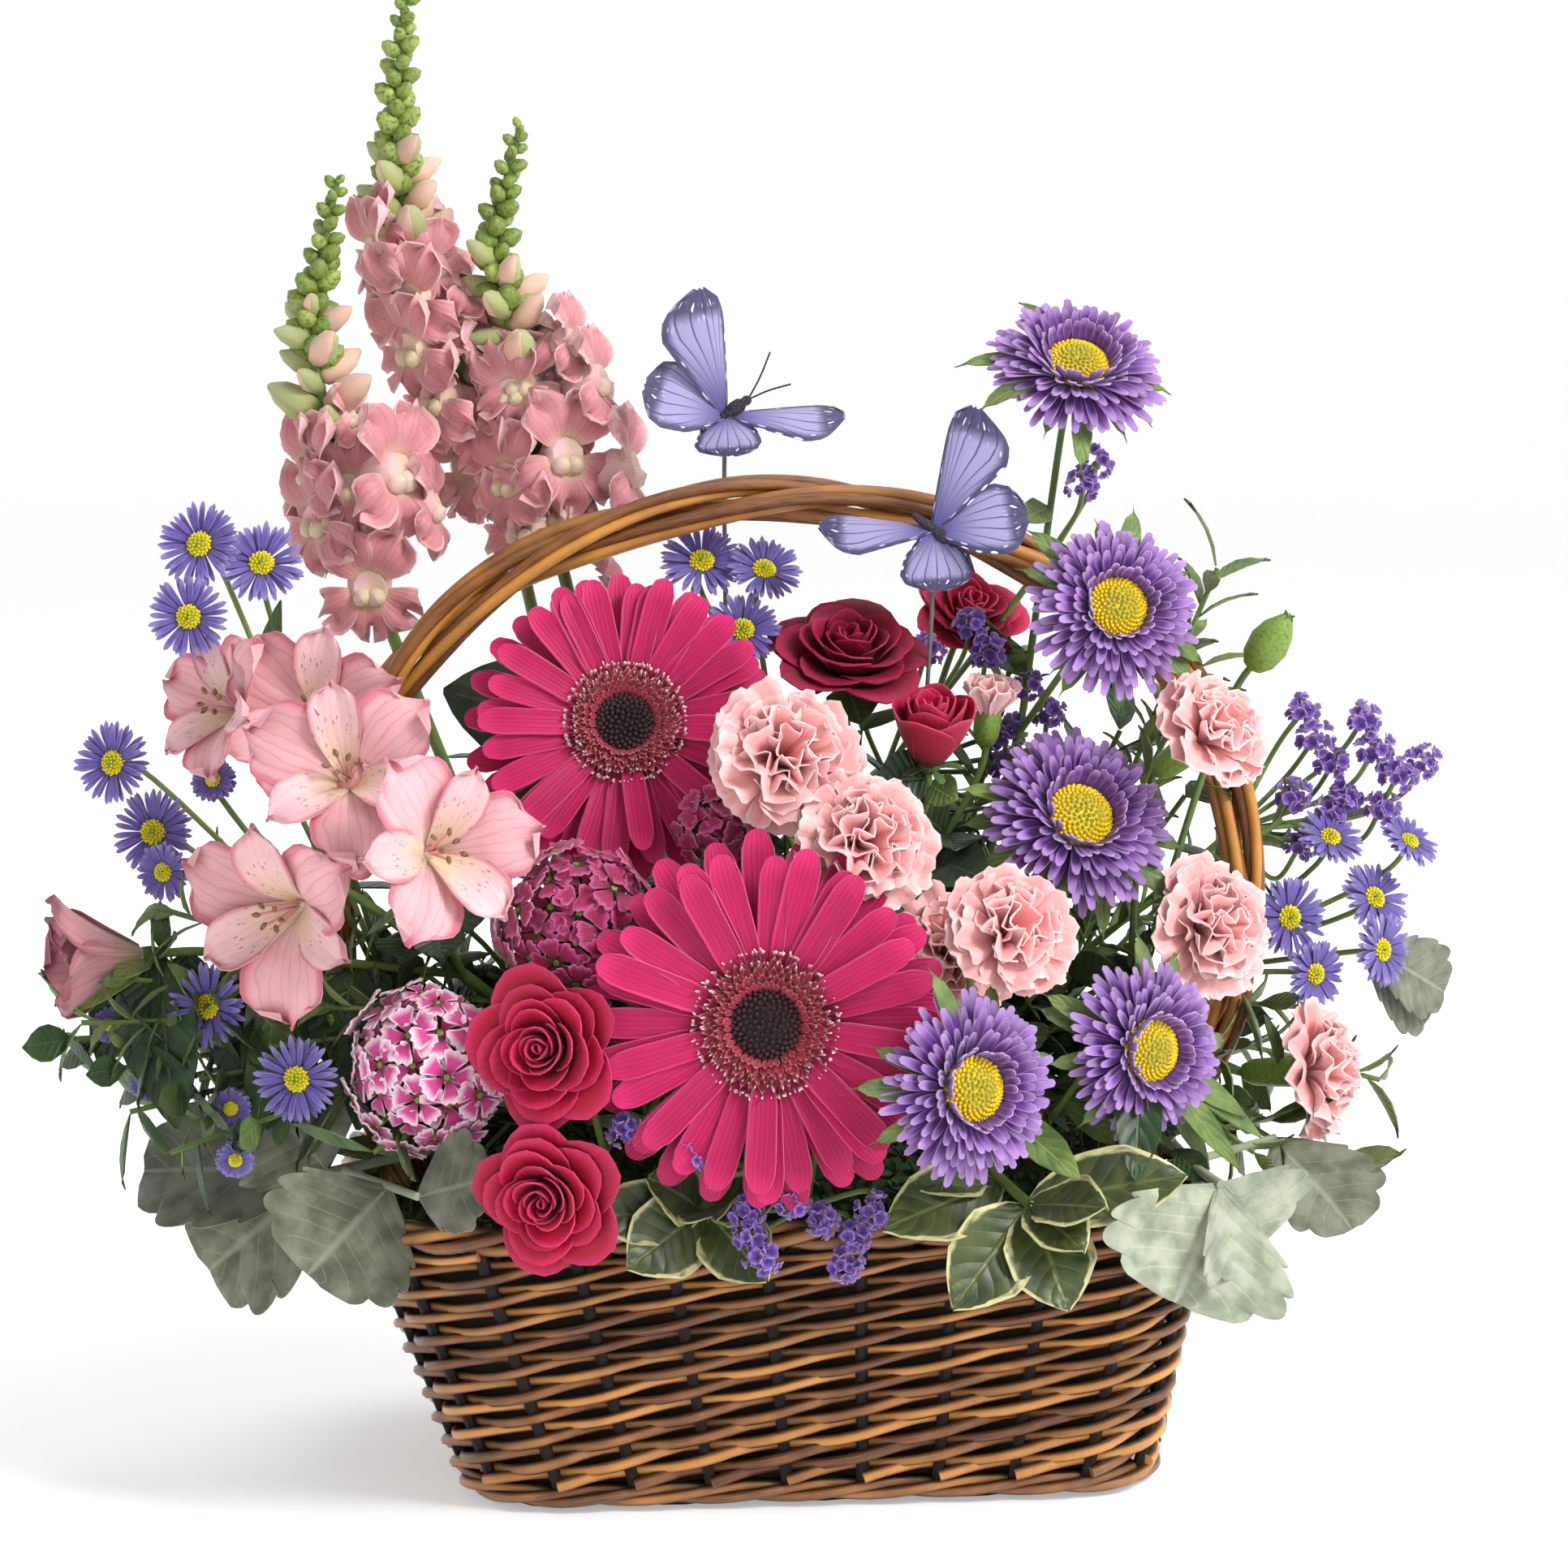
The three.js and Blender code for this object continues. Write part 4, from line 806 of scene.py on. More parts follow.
def weaveBasket():
    b = basket
    stakes, middle, (low, high) = b["stakes"], b["middle"], b["weave"]
    lines, dark = [], []
    rounds = (high - low) / b["climb"]
    for k in range(stakes):  # one weaver starts at each stake and climbs to the right
        steps = np.linspace(0, rounds, int(rounds * b["bends"]))
        share = (k + steps) / stakes
        sway = b["sway"] * np.cos(pi * steps) + dice.normal(0, 0.12, len(steps))
        z = low + b["climb"] * steps + b["stroke"] * np.sin(pi * steps) + 0.25 * np.sin(2 * steps + k)
        size = b["rod"] * np.interp(steps, [0, rounds], [1.12, 0.86]) * dice.uniform(0.93, 1.07)
        lines.append((wallPoint(share, z, middle + sway), size, dice.uniform(0.1, 0.9)))
    # the stakes, and the floor rings and spokes further on, are painted near black: painted shade in the gaps of the
    # weave and under it
    for k in range(stakes):
        z = np.linspace(3, b["height"] - 2, 14)
        dark.append((wallPoint(np.full(14, k / stakes), z, middle), b["stake"], dice.uniform(0, 0.6)))
    s = np.linspace(0, 1, 220)
    for turns, height, rod, swing, flat in b["borders"]:  # twisted borders at the foot and at the rim
        for k in range(b["borderRods"]):
            a = 2 * pi * (turns * s + k / b["borderRods"])
            ring = wallPoint(s, np.full(len(s), min(height, b["height"])), middle + 0.2 + swing * np.cos(a))
            ring[:, 2] = height + swing * np.sin(a) * flat
            lines.append((ring, rod, dice.uniform(0.3, 0.9)))
    s = np.linspace(0, 1, 90)
    for k in range(b["floorRings"]):
        for inset in (6 + 14 * k, 13 + 14 * k):
            ring = wallPoint(s, np.zeros(len(s)), -inset)
            ring[:, 2] = 2.2 + 0.6 * (k % 2) + 0.9 * np.sin(2 * pi * 14 * s + (inset % 2) * pi)
            dark.append((ring, 1.4, 0.4))
    for k in range(b["floorSpokes"]):
        y = -52 + 13 * k
        x = 92 if abs(y) < 40 else 78
        dark.append((np.linspace((-x, y, 2.6), (x, y, 2.6), 20), 1.6, 0.3))
    return joinParts([rodsOf(lines, "willowBrown", sides=7, roughen=0.12, lumpSize=14),
                      rodsOf(dark, "willowDark", sides=6, roughen=0.1)])


makePiece("wovenBasket", weaveBasket(), "willow", "basket")
print("basket woven")

handle = {
    "rods": 3, "spread": 4.6, "turns": 3.5, "strands": 3, "strand": 1.95, "strandOut": 1.8, "strandTurns": 2.5,
    "left": [[-85, 9], [-104, 50], [-122, 90], [-141, 140], [-144, 185], [-134, 228], [-107, 263], [-62, 289]],
    "crown": [[-6, 299]],
    "right": [[84, 9], [97, 50], [107, 90], [134, 140], [138, 185], [128, 228], [97, 263], [50, 289]],
}


def unitRows(rows):
    return rows / np.linalg.norm(rows, axis=1, keepdims=True)


def handleRod(phase):
    h = handle
    flat = h["left"] + h["crown"] + h["right"][::-1]
    middle = evenPath(smoothPath([(x, 0, z) for x, z in flat], 12), 4.0)
    along = unitRows(np.gradient(middle, axis=0))
    a = phase + 2 * pi * h["turns"] * np.linspace(0, 1, len(middle))
    out = np.stack([-along[:, 2], np.zeros(len(a)), along[:, 0]], axis=1) * np.cos(a)[:, None]
    out[:, 1] = np.sin(a)
    return middle + out * h["spread"]


def strandsOf(path):  # one rod is a bundle of thinner ones, turned a little round each other
    h = handle
    along = np.gradient(path, axis=0)
    side = unitRows(np.cross(along, (0, 1, 0)))
    other = unitRows(np.cross(along, side))
    lines = []
    for k in range(h["strands"]):
        a = 2 * pi * (k / h["strands"] + h["strandTurns"] * np.linspace(0, 1, len(path)))[:, None]
        strand = path + (side * np.cos(a) + other * np.sin(a)) * h["strandOut"]
        lines.append((strand, h["strand"] * dice.uniform(0.9, 1.08), dice.uniform(0.1, 0.9)))
    return lines


for k in range(handle["rods"]):
    strands = strandsOf(handleRod(2 * pi * k / handle["rods"]))
    rod = rodsOf(strands, "handleWillow", sides=9, roughen=0.12, lumpSize=30)
    makePiece(f"twistedRod{k + 1}", rod, "handle_willow", f"handle_rod_{k + 1}")
print("handle twisted")

liner = {"foot": (68, 48, 20), "mouth": (93, 70, 20), "low": 5.35, "high": 82, "wall": 1.6, "points": 72}
foam = {
    "gap": 0.35, "inset": 1.95, "levels": (40, 82, 92), "shoulder": 97, "top": 112, "bevel": 16, "sink": 22,
    "rounding": ((5, 5.2), (10, 9.8), (16, 15)),  # how far in and how far up
    "flat": (0.8, 0.55, 0.3, 0.1),  # rings on the flat top, as shares of its width
}


def linerRing(z, push):
    k = z / liner["high"] if z < liner["high"] else 1.0
    count = liner["points"]
    points, outs = outlinePoints(np.arange(count) / count, *sizeAt(liner, k))
    return np.concatenate([points + outs * push + [basket["lean"] * k, 0], np.full((count, 1), z)], axis=1)


def linerPart():
    low, high, wall = liner["low"], liner["high"], liner["wall"]
    outer = [linerRing(z, 0) for z in np.linspace(low, high, 6)]
    lip = [linerRing(high + 0.3, -wall * share) for share in (0.3, 0.7)]
    inner = [linerRing(z, -wall) for z in np.linspace(high, low + wall, 6)]
    return stackRings([linerRing(low, -4)] + outer + lip + inner + [linerRing(low + wall, -wall - 4)], "linerGreen")


def foamPart():
    low, inset = liner["low"] + liner["wall"] + foam["gap"], foam["inset"]
    rings = [linerRing(z, -inset) for z in (low, *foam["levels"], foam["shoulder"])]
    rings += [linerRing(foam["shoulder"] + rise, -inset - back) for back, rise in foam["rounding"]]
    flat, centre = linerRing(foam["top"], -inset - foam["bevel"]), vec(basket["lean"], 0, foam["top"])
    return stackRings(rings + [centre + (flat - centre) * share for share in foam["flat"]], "foamGreen")


makePiece("linerPot", linerPart(), "liner", "liner")
makePiece("foamBlock", foamPart(), "foam", "foam")
print("liner and foam made")

# ---- petals

outlines = {  # half width from the base to the tip
    "strap": ([0, 0.15, 0.4, 0.8, 0.93, 1], [0.32, 0.58, 0.9, 1, 0.94, 0.66]),
    "oval": ([0, 0.2, 0.5, 0.75, 0.92, 1], [0.25, 0.62, 0.97, 1, 0.72, 0.2]),
    "fan": ([0, 0.3, 0.6, 0.85, 1], [0.12, 0.36, 0.76, 1, 0.97]),
    "ray": ([0, 0.2, 0.6, 0.85, 1], [0.4, 0.7, 1, 1, 0.7]),
    "tepal": ([0, 0.25, 0.55, 0.8, 0.93, 1], [0.2, 0.55, 1, 1, 0.66, 0.1]),
    "leaf": ([0, 0.1, 0.35, 0.65, 0.88, 1], [0.06, 0.5, 1, 0.9, 0.45, 0.04]),
    "narrow": ([0, 0.3, 0.6, 0.85, 1], [0.2, 0.5, 1, 0.7, 0.08]),
    "spike": ([0, 0.5, 1], [1, 0.7, 0.3]),
}


def petal(length, width, outline="oval", bend=(0, 0), cup=0.0, groove=0.0, teeth=0.0, ruffle=0.0, waves=2.5,
          phase=0.0, tipDrop=0.1, rows=9, cols=5, thick=0.4):
    t = np.linspace(0, 1, rows)
    angle = np.radians(bend[0] + (bend[1] - bend[0]) * t ** 1.3)
    step = length * np.diff(t, prepend=0)
    x, z = np.cumsum(step * np.cos(angle)), np.cumsum(step * np.sin(angle))
    half = width / 2 * np.interp(t, *outlines[outline])
    tt, uu = gridOf(rows, cols)
    lift = cup * uu ** 2 * half[:, None] - groove * np.cos(3 * pi * uu) * np.sin(pi * tt) ** 0.5
    lift = lift + ruffle * tt ** 2 * np.sin(waves * pi * uu + phase)
    more = -tipDrop * length * uu ** 2 * tt ** 4
    if teeth:
        more = more + teeth * (np.arange(cols) % 2 * 2 - 1)[None, :] * (tt > 0.97)
    lean = angle[:, None]
    top = np.stack([x[:, None] - np.sin(lean) * lift + np.cos(lean) * more, uu * half[:, None],
                    z[:, None] + np.cos(lean) * lift + np.sin(lean) * more], axis=-1)
    return shell(top, thick)


def cupPetal(radius, height, span, curl, tuck):  # part of a bowl, for a rose
    t, u = gridOf(9, 9)
    rise = t * (1 - 0.24 * np.abs(u) ** 3 + 0.03 * np.cos(5 * u))
    out = radius * (0.25 + 0.75 * np.sin(rise * pi / 2) ** 0.9)
    over = np.clip((rise - 0.62) / 0.38, 0, 1)
    out = out + curl * over ** 2 + tuck * u
    z = height * (rise - 0.35 * curl / max(height, 1) * over ** 3)
    a = radians(span) / 2 * u * np.interp(t, [0, 0.3, 0.7, 1], [0.55, 0.85, 1, 0.8])
    return shell(np.stack([out * np.cos(a), out * np.sin(a), z], axis=-1), 0.5)


bump = lathe([(0, -0.3), (0.9, 0), (0.7, 0.9), (0, 1.3)], 5)


def gerberaPetals(r, seed):
    strap = dict(outline="strap", cup=0.12, groove=0.28, tipDrop=0.035, rows=11, cols=7, thick=0.45)
    low = petal(0.88 * r, 0.172 * r, bend=(5, -10), **strap)
    high = petal(0.82 * r, 0.165 * r, bend=(9, -8), **strap)
    rings = [(low, 25, 2.2, 1, 0.05, 0.05, 0), (high, 24, 3.6, 8, 0.05, 0.05, 0.13),
             (high, 9, 4.6, 11, 0.2, 0.06, 0.4)]
    return joinParts([ringOf(shape, "gerberaPink", count, 0.12 * r, height, lean, 4, *spreads, seed + k)
                      for k, (shape, count, height, lean, *spreads) in enumerate(rings)] +
                     [lathe([(0, -0.2), (7, 0), (10, 3), (9.5, 5.5), (0, 5.5)], 20, "gerberaPink")])


def gerberaEye(r, seed):
    hair = petal(0.075 * r, 0.7, "spike", bend=(40, 78), rows=4, cols=2, thick=0.5)
    dot = lathe([(0, -0.4), (0.55, 0), (0, 0.6)], 5)
    parts = [domeOf(movePart(bump, scale=0.95), "gerberaHeart", 150, 0.19 * r, 2.6, 8.2, reach=75, seed=seed),
             lathe([(0, 4.6), (0.2 * r, 5.2), (0.19 * r, 8.2), (0.1 * r, 10.2), (0, 10.4)], 20, "gerberaHeart")]
    for k, (count, length, lean) in enumerate(((52, 0.21, 3), (50, 0.17, 10), (46, 0.13, 19), (40, 0.09, 30))):
        shape = petal(length * r, 3.0 - 0.35 * k, "narrow", bend=(8, 16), cup=0.3, rows=5, cols=3)
        parts.append(ringOf(shape, "gerberaRing", count, 0.17 * r, 7.2 + 0.6 * k, lean, 6, sizeSpread=0.1,
                            start=0.07 * k, seed=seed + k))
    for k, (count, start, high, paint) in enumerate((
            (60, 0.36, 7.6, "gerberaStamen"), (52, 0.3, 8.6, "gerberaStamen"), (40, 0.24, 9.4, "gerberaRing"))):
        parts.append(ringOf(hair, paint, count, start * r, high, 6, 12, sizeSpread=0.25, seed=seed + 5 + k))
    parts.append(ringOf(dot, "pollenPale", 64, 0.385 * r, 8.4, 0, 20, 0.08, 0.3, seed=seed + 9))
    return joinParts(parts)


def roseHead(r, seed, paint="roseCerise", bud=False):
    rings = [  # count, radius, height, span, curl
        (2, 0.08, 0.7, 280, -0.02), (3, 0.15, 0.72, 210, 0.0), (3, 0.22, 0.74, 175, 0.02), (4, 0.31, 0.75, 140, 0.05),
        (4, 0.43, 0.72, 126, 0.11), (5, 0.57, 0.64, 112, 0.18), (5, 0.71, 0.53, 104, 0.25), (5, 0.84, 0.4, 100, 0.3)]
    if bud:
        rings = [(c, a * 1.45, h * 2.0, span * 1.1, curl * 0.4) for c, a, h, span, curl in rings[:6]]
    parts = []
    for k, (count, share, height, span, curl) in enumerate(rings):
        shape = cupPetal(share * r, height * r, span, curl * r, 0.045 * r)
        parts.append(ringOf(shape, paint, count, 0, 0.6, 0, 3.5, 0.2, 0.07, k * 1.1, seed + k))
    parts.append(lathe([(0, 0), (0.1 * r, 0.3), (0.24 * r, 0.14 * r), (0.06 * r, 0.6 * r), (0, 0.62 * r)], 10, paint))
    return joinParts(parts)


def carnationHead(r, seed):
    rings = [  # count, length, width, bend, ruffle
        (8, 1.16, 1.1, (56, -16), 0.1), (7, 1.12, 1.06, (68, 8), 0.12), (6, 1.04, 1.0, (76, 32), 0.14),
        (5, 0.98, 0.9, (82, 54), 0.14), (4, 0.9, 0.76, (87, 74), 0.12)]
    parts = []
    for k, (count, length, width, bend, ruffle) in enumerate(rings):
        for half in range(2):  # two shapes of frill in each ring
            shape = petal(length * r, width * r, "fan", bend, teeth=0.016 * r, ruffle=ruffle * r,
                          waves=1.6 + 0.7 * half, phase=1.3 * half + k, tipDrop=0.14, rows=8, cols=13, thick=0.35)
            parts.append(ringOf(shape, "carnationPink", (count + half) // 2, 0.05 * r, 0.4 * k, 0, 8, 0.14, 0.08,
                                k * 0.9 + half * 2 * pi / count, seed + 2 * k + half))
    return joinParts(parts)


def asterHead(r, seed):
    rings = [  # count, length, radius, height, lean, bend
        (46, 0.65, 0.35, 2.2, 0, (8, -12)), (44, 0.58, 0.34, 3.2, 9, (8, -8)), (40, 0.5, 0.33, 4.2, 20, (10, 0)),
        (36, 0.4, 0.33, 5.0, 33, (10, 15)), (28, 0.27, 0.32, 5.6, 48, (10, 30))]
    disc = [(0, -0.2), (0.2 * r, 0), (0.36 * r, 3), (0.33 * r, 6.2), (0.16 * r, 8.2), (0, 8.4)]
    parts = []
    for k, (count, length, radius, height, lean, bend) in enumerate(rings):
        shape = petal(length * r, 0.092 * r, "ray", bend, cup=0.3, tipDrop=0.04, rows=6, cols=3)
        parts.append(ringOf(shape, "asterPurple", count, radius * r, height, lean, 8, 0.06, 0.13, 0.3 * k, seed + k))
    parts.append(domeOf(movePart(bump, scale=0.8), "asterDisc", 180, 0.33 * r, 2.8, 5.8, reach=72, seed=seed))
    return joinParts(parts + [lathe(disc, 18, "asterDisc", 0.8)])


alstroLooks = {  # width and bend of the wide petals, bend of the slim ones, and their paints
    "open": (0.92, (62, -16), (64, -2), "alstroPink", "alstroFlecked"),
    "closed": (1.3, (68, 44), (70, 50), "alstroDusk", "alstroDusk"),
}


def alstroemeriaHead(r, seed, look="open"):
    width, bend, slimBend, paint, slimPaint = alstroLooks[look]
    wide = petal(1.3 * r, width * r, "tepal", bend, cup=0.2, groove=0.25, ruffle=1.9, waves=1.8, tipDrop=0.16,
                 rows=13, cols=11, thick=0.5)
    slim = petal(1.18 * r, 0.54 * r, "tepal", slimBend, cup=0.3, groove=0.15, ruffle=1.0, rows=13, cols=7, thick=0.5)
    anther = lathe([(0, -1.6), (0.8, -0.6), (0.8, 0.6), (0, 1.6)], 6, "stamenTip")
    stamens, tips = [], []
    for k in range(6):
        out = vec(cos(k * pi / 3 + 0.4), sin(k * pi / 3 + 0.4), 0)
        tip = out * (3 + k % 3) + vec(0, 0, (0.62 + 0.05 * (k % 2)) * r)
        places = [(0, 0, 2), out * 2 + vec(0, 0, 0.35 * r), tip]
        stamens.append((smoothPath(places, 4), 0.45, 0.5))
        tips.append(standPart(anther, tip, out + vec(0, 0, 0.5)))
    return joinParts([ringOf(wide, paint, 3, 1.6, 0.6, 0, 4, 0.05, 0.04, 0.0, seed),
                      ringOf(slim, slimPaint, 3, 1.2, 1.4, 0, 4, 0.05, 0.04, pi / 3, seed + 3),
                      lathe([(0, -0.3), (2.2, 0), (2.6, 1.5), (1.6, 4), (0, 4.4)], 10, "alstroPink"),
                      rodsOf(stamens, "stamenPink", sides=5, roughen=0)] + tips)


def williamHead(r, seed, paint):
    shape = petal(6.8, 6.8, "fan", bend=(14, -12), teeth=0.35, ruffle=0.35, rows=5, cols=7)
    floret = ringOf(shape, paint, 5, 0.6, 0, 4, 6, 0.06, 0.06, seed=seed)
    tube = lathe([(0, -9), (0.9, -8.5), (1.3, -2), (1.0, 0.5), (0, 0.7)], 5)
    cushion = [(0, 0), (0.3 * r, 0.06 * r), (0.44 * r, 0.14 * r), (0.3 * r, 0.28 * r), (0, 0.3 * r)]
    return joinParts([domeOf(shape, tint, int(1.15 * r), 0.8 * r, 0.5 * r, 0.02 * r, 88, 0.22, 0, 0.09, seed)
                      for shape, tint in ((floret, paint), (tube, "budGreen"))] + [lathe(cushion, 12, "leafDark")])


def daisyHead(r, seed):
    ray = petal(0.76 * r, 1.6, "ray", bend=(8, -10), cup=0.2, rows=5, cols=3, thick=0.35)
    disc = [(0, -2.4), (0.12 * r, -1.8), (0.3 * r, 0), (0.28 * r, 1.6), (0, 2.6)]
    return joinParts([
        ringOf(ray, "monteBlue", 26, 0.24 * r, 0.8, 4, 6, 0.08, 0.08, 0, seed),
        ringOf(ray, "monteBlue", 20, 0.22 * r, 1.4, 14, 6, 0.1, 0.1, 0.1, seed + 1),
        domeOf(movePart(bump, scale=0.6), "monteDisc", 50, 0.28 * r, 1.8, 1.2, reach=75, seed=seed),
        lathe(disc, 12, "monteDisc", 0.7)])


def staticeTuft(r, seed):
    shape = petal(0.5 * r, 0.42 * r, "fan", bend=(72, 30), ruffle=0.4, teeth=0.2, rows=4, cols=3, thick=0.3)
    cone = ringOf(shape, "staticeViolet", 5, 0.2, -0.3 * r, 0, 6, 0.05, 0.1, seed=seed)
    return joinParts([domeOf(cone, "staticeViolet", 14, 0.85 * r, 1.3 * r, 0, 105, 0.25, 0, 0.35, seed),
                      lathe([(0, -0.6), (0.3 * r, 0.2 * r), (0.2 * r, 0.5 * r), (0, 0.6 * r)], 7, "budGreen")])


def closedBud(r, _):  # looks the same for every seed
    skin = [(0, -1.5), (0.5, -1.3), (0.85, -0.8), (1, 0.1), (0.8, 0.9), (0.35, 1.6), (0, 1.9)]
    tip = petal(0.7 * r, 0.5 * r, "narrow", bend=(88, 76), rows=4, cols=3)
    return joinParts([lathe([(a * r, z * r) for a, z in skin], 14, "budGreen", 0.3),
                      ringOf(tip, "budGreen", 5, 0.14 * r, 1.2 * r, 0, 5, seed=3)])


def openBud(r, seed):  # pale petals just showing above the green cup
    cup = [(0, -1.7), (0.4, -1.5), (0.62, -1.0), (0.66, -0.2), (0.5, 0.3), (0, 0.4)]
    frill = petal(2.4 * r, 1.9 * r, "fan", bend=(80, 52), ruffle=0.16 * r, teeth=0.05 * r, rows=7, cols=9)
    inner = petal(2.3 * r, 1.4 * r, "fan", bend=(88, 76), ruffle=0.2 * r, teeth=0.05 * r, rows=7, cols=9)
    return joinParts([lathe([(a * r, z * r) for a, z in cup], 14, "budGreen", 0.3),
                      ringOf(frill, "carnationPink", 7, 0.2 * r, -0.6 * r, 0, 6, seed=seed),
                      ringOf(inner, "carnationPink", 5, 0.1 * r, -0.4 * r, 0, 6, start=0.5, seed=seed + 1)])


# ---- leaves

leafShapes = {  # shares along the leaf, and its half width there
    "plain": ([0, 0.12, 0.35, 0.7, 0.9, 1], [0.06, 0.45, 0.95, 0.85, 0.4, 0.03]),
    "broad": ([0, 0.1, 0.35, 0.65, 0.88, 1], [0.06, 0.5, 1, 0.96, 0.5, 0.04]),
}


def leafPart(base, tip, face, width, shape, paint, wavy, tone):
    along = tip - base
    length = np.linalg.norm(along)
    normal = unit(face - along * np.dot(face, along) / (length ** 2 + 1e-9))
    side = unit(np.cross(normal, along))
    t, u = gridOf(37, 9) if shape == "lobed" else gridOf(13, 5)
    forward = np.zeros_like(t)
    if shape == "lobed":  # deep soft lobes that point forwards
        envelope = np.interp(t, [0, 0.12, 0.35, 0.65, 0.85, 0.95, 1], [0.06, 0.38, 0.86, 1, 0.84, 0.55, 0.2])
        lobes = np.abs(np.sin(4.5 * pi * t + 0.4)) ** 0.7
        half = width * 0.78 * envelope * (0.84 + 0.16 * lobes)
        forward = 0.08 * length * np.abs(u) ** 2 * (lobes - 0.3) * envelope
    else:
        half = width / 2 * np.interp(t, *leafShapes[shape])
    lift = 0.2 * half * np.abs(u) - 0.06 * length * (t - 0.5) ** 2 * 2
    lift = lift + wavy * width * np.sin(9 * t + 2 * u) * np.abs(u)
    top = base + along * t[..., None] + unit(along) * forward[..., None]
    top = top + side * (u * half)[..., None] + normal * lift[..., None]
    return shell(top, 0.5, paint, tone)


# ---- stems and the heads that they carry

def footing(x, y):  # where a stem enters the foam, and the way that it points
    reachX, reachY = [side - liner["wall"] - foam["gap"] - foam["bevel"] for side in liner["mouth"][:2]]
    past = max(0, abs(x - basket["lean"]) - reachX, abs(y) - reachY)
    surface = vec(x, y, foam["top"] - past * (foam["top"] - foam["shoulder"]) / foam["bevel"])
    return surface, unit(surface - vec(x * 0.6, y * 0.6, 10))


def rootOf(foot, rise=12):  # the first points of a stem, in its hole and just above it
    surface, lead = footing(*foot)
    return [surface - lead * foam["sink"], surface + lead * 5, surface + lead * (5 + rise)]


def nearestOn(paths, place):
    points = np.concatenate(paths)
    return points[np.argmin(np.linalg.norm(points - place, axis=1))]


headKinds = {  # depth behind its pixel (a length, and a share of the radius), neck, calyx, maker, and slot if a piece
    "gerbera": (6, 0, 4, "gerbera", gerberaPetals, "gerbera_petal"),
    "rose": (0, 0.6, 0.4, "rose", roseHead, "rose_petal"),
    "roseBud": (0, 0.7, 0.4, "rose", partial(roseHead, bud=True), "rose_petal"),
    "carnation": (12, 0, 4, "carnation", carnationHead, "carnation_petal"),
    "aster": (8, 0, 0.4, "aster", asterHead, "aster_head"),
    "alstroemeria": (0, 0.45, 4, "alstroemeria", alstroemeriaHead, "alstroemeria_petal"),
    "sideAlstro": (0, 0.45, 4, "alstroemeria", alstroemeriaHead, None),
    "william": (0, 0.45, -1, None, williamHead, None),
    "bud": (0, 0, 4, None, closedBud, None),
    "openBud": (0, 0, 4, None, openBud, None),
    "daisy": (2, 0, -2.3, None, daisyHead, None),
    "tuft": (1, 0, -0.8, None, staticeTuft, None),
}


def calyxParts(kind, r, seed):  # the green below a head: a cup, and a ring of sepals
    cups = {
        "gerbera": ([(0, -9), (2.4, -8.6), (5, -6), (8.4, -0.6), (0, -0.4)], 16, "leafGreen"),
        "rose": ([(0, -3), (2.4, -2.6), (3.6, -1), (3.4, 0.6), (0, 0.8)], 12, "leafGreen"),
        "carnation": ([(0, -17), (2.6, -16.6), (4.2, -13), (4.7, -6), (4.8, 0.4), (0, 0.6)], 14, "budGreen", 0.3),
        "aster": ([(0, -3), (2.4, -2.6), (0.24 * r, -0.6), (0.3 * r, 1.4), (0, 1.6)], 14, "asterLeaf"),
        "alstroemeria": ([(0, -7), (1.4, -6.6), (2.6, -3), (2.4, 0.2), (0, 0.4)], 10, "leafGreen"),
    }
    sepals = {  # length, width, bend, cup and rows; count, radius, height, lean and spreads
        "gerbera": ((9, 3.4, (60, 20), 0, 5), (18, 3, -7, 0, 5)),
        "rose": ((0.75 * r, 0.26 * r, (30, -30), 0, 7), (5, 1.5, -1.6, 0, 8)),
        "carnation": ((6, 3.4, (85, 60), 0, 4), (5, 4.4, -1.5, 0, 3)),
        "aster": ((1.16 * r, 0.22 * r, (16, -34), 0.3, 9), (13, 2, -1.2, 0, 12, 0.2, 0.2)),
    }
    parts = [lathe(*cups[kind])] if kind else []
    if kind in sepals:
        (length, width, bend, cup, rows), ring = sepals[kind]
        shape = petal(length, width, "narrow", bend, cup, rows=rows, cols=3)
        parts.append(ringOf(shape, cups[kind][2], *ring, seed=seed))
    return parts


headSpots = []  # where the heads are, so that filling leaves keep off them


def headsOf(spec):
    heads = []
    for kind, diameter, pixel, depth, faces, *rest in spec.get("heads", []):
        (deep, share, neck, *_), r = headKinds[kind], diameter / 2
        facing, middle = direction(*faces), atPixel(pixel, depth)
        heads.append((kind, r, middle - facing * (deep + share * r), facing, neck, *rest))
        headSpots.append((middle, r))
    return heads


def stemPaths(spec, heads):  # each stem as (path, radius, tone): the root, a branch to each head, and bare twigs
    radius, fork = spec.get("radius", 1.6), [vec(*spec["fork"])] if "fork" in spec else []
    onward = [vec(*p) for p in spec.get("via", [])] + fork
    if not onward:
        _, _, base, facing, neck, *_ = heads[0]
        onward = [base - facing * (neck + 14), base - facing * neck]
    root = smoothPath(rootOf(spec["foot"], spec.get("rise", 10)) + onward)
    lines = [(root, radius, 0.4)]
    for _, _, base, facing, neck, *_ in heads[0 if fork else 1:]:
        start = fork[0] if fork else nearestOn([root], base - vec(0, 0, 30))
        path = smoothPath([start, base - facing * (neck + 14), base - facing * (neck - 1)])
        lines.append((path, radius * 0.7, dice.uniform(0.2, 0.8)))
    for twig in spec.get("twigs", []):
        end = vec(*twig)
        lines.append((smoothPath([nearestOn([root], (end + fork[0]) / 2), end]), radius * 0.8, 0.5))
    return lines


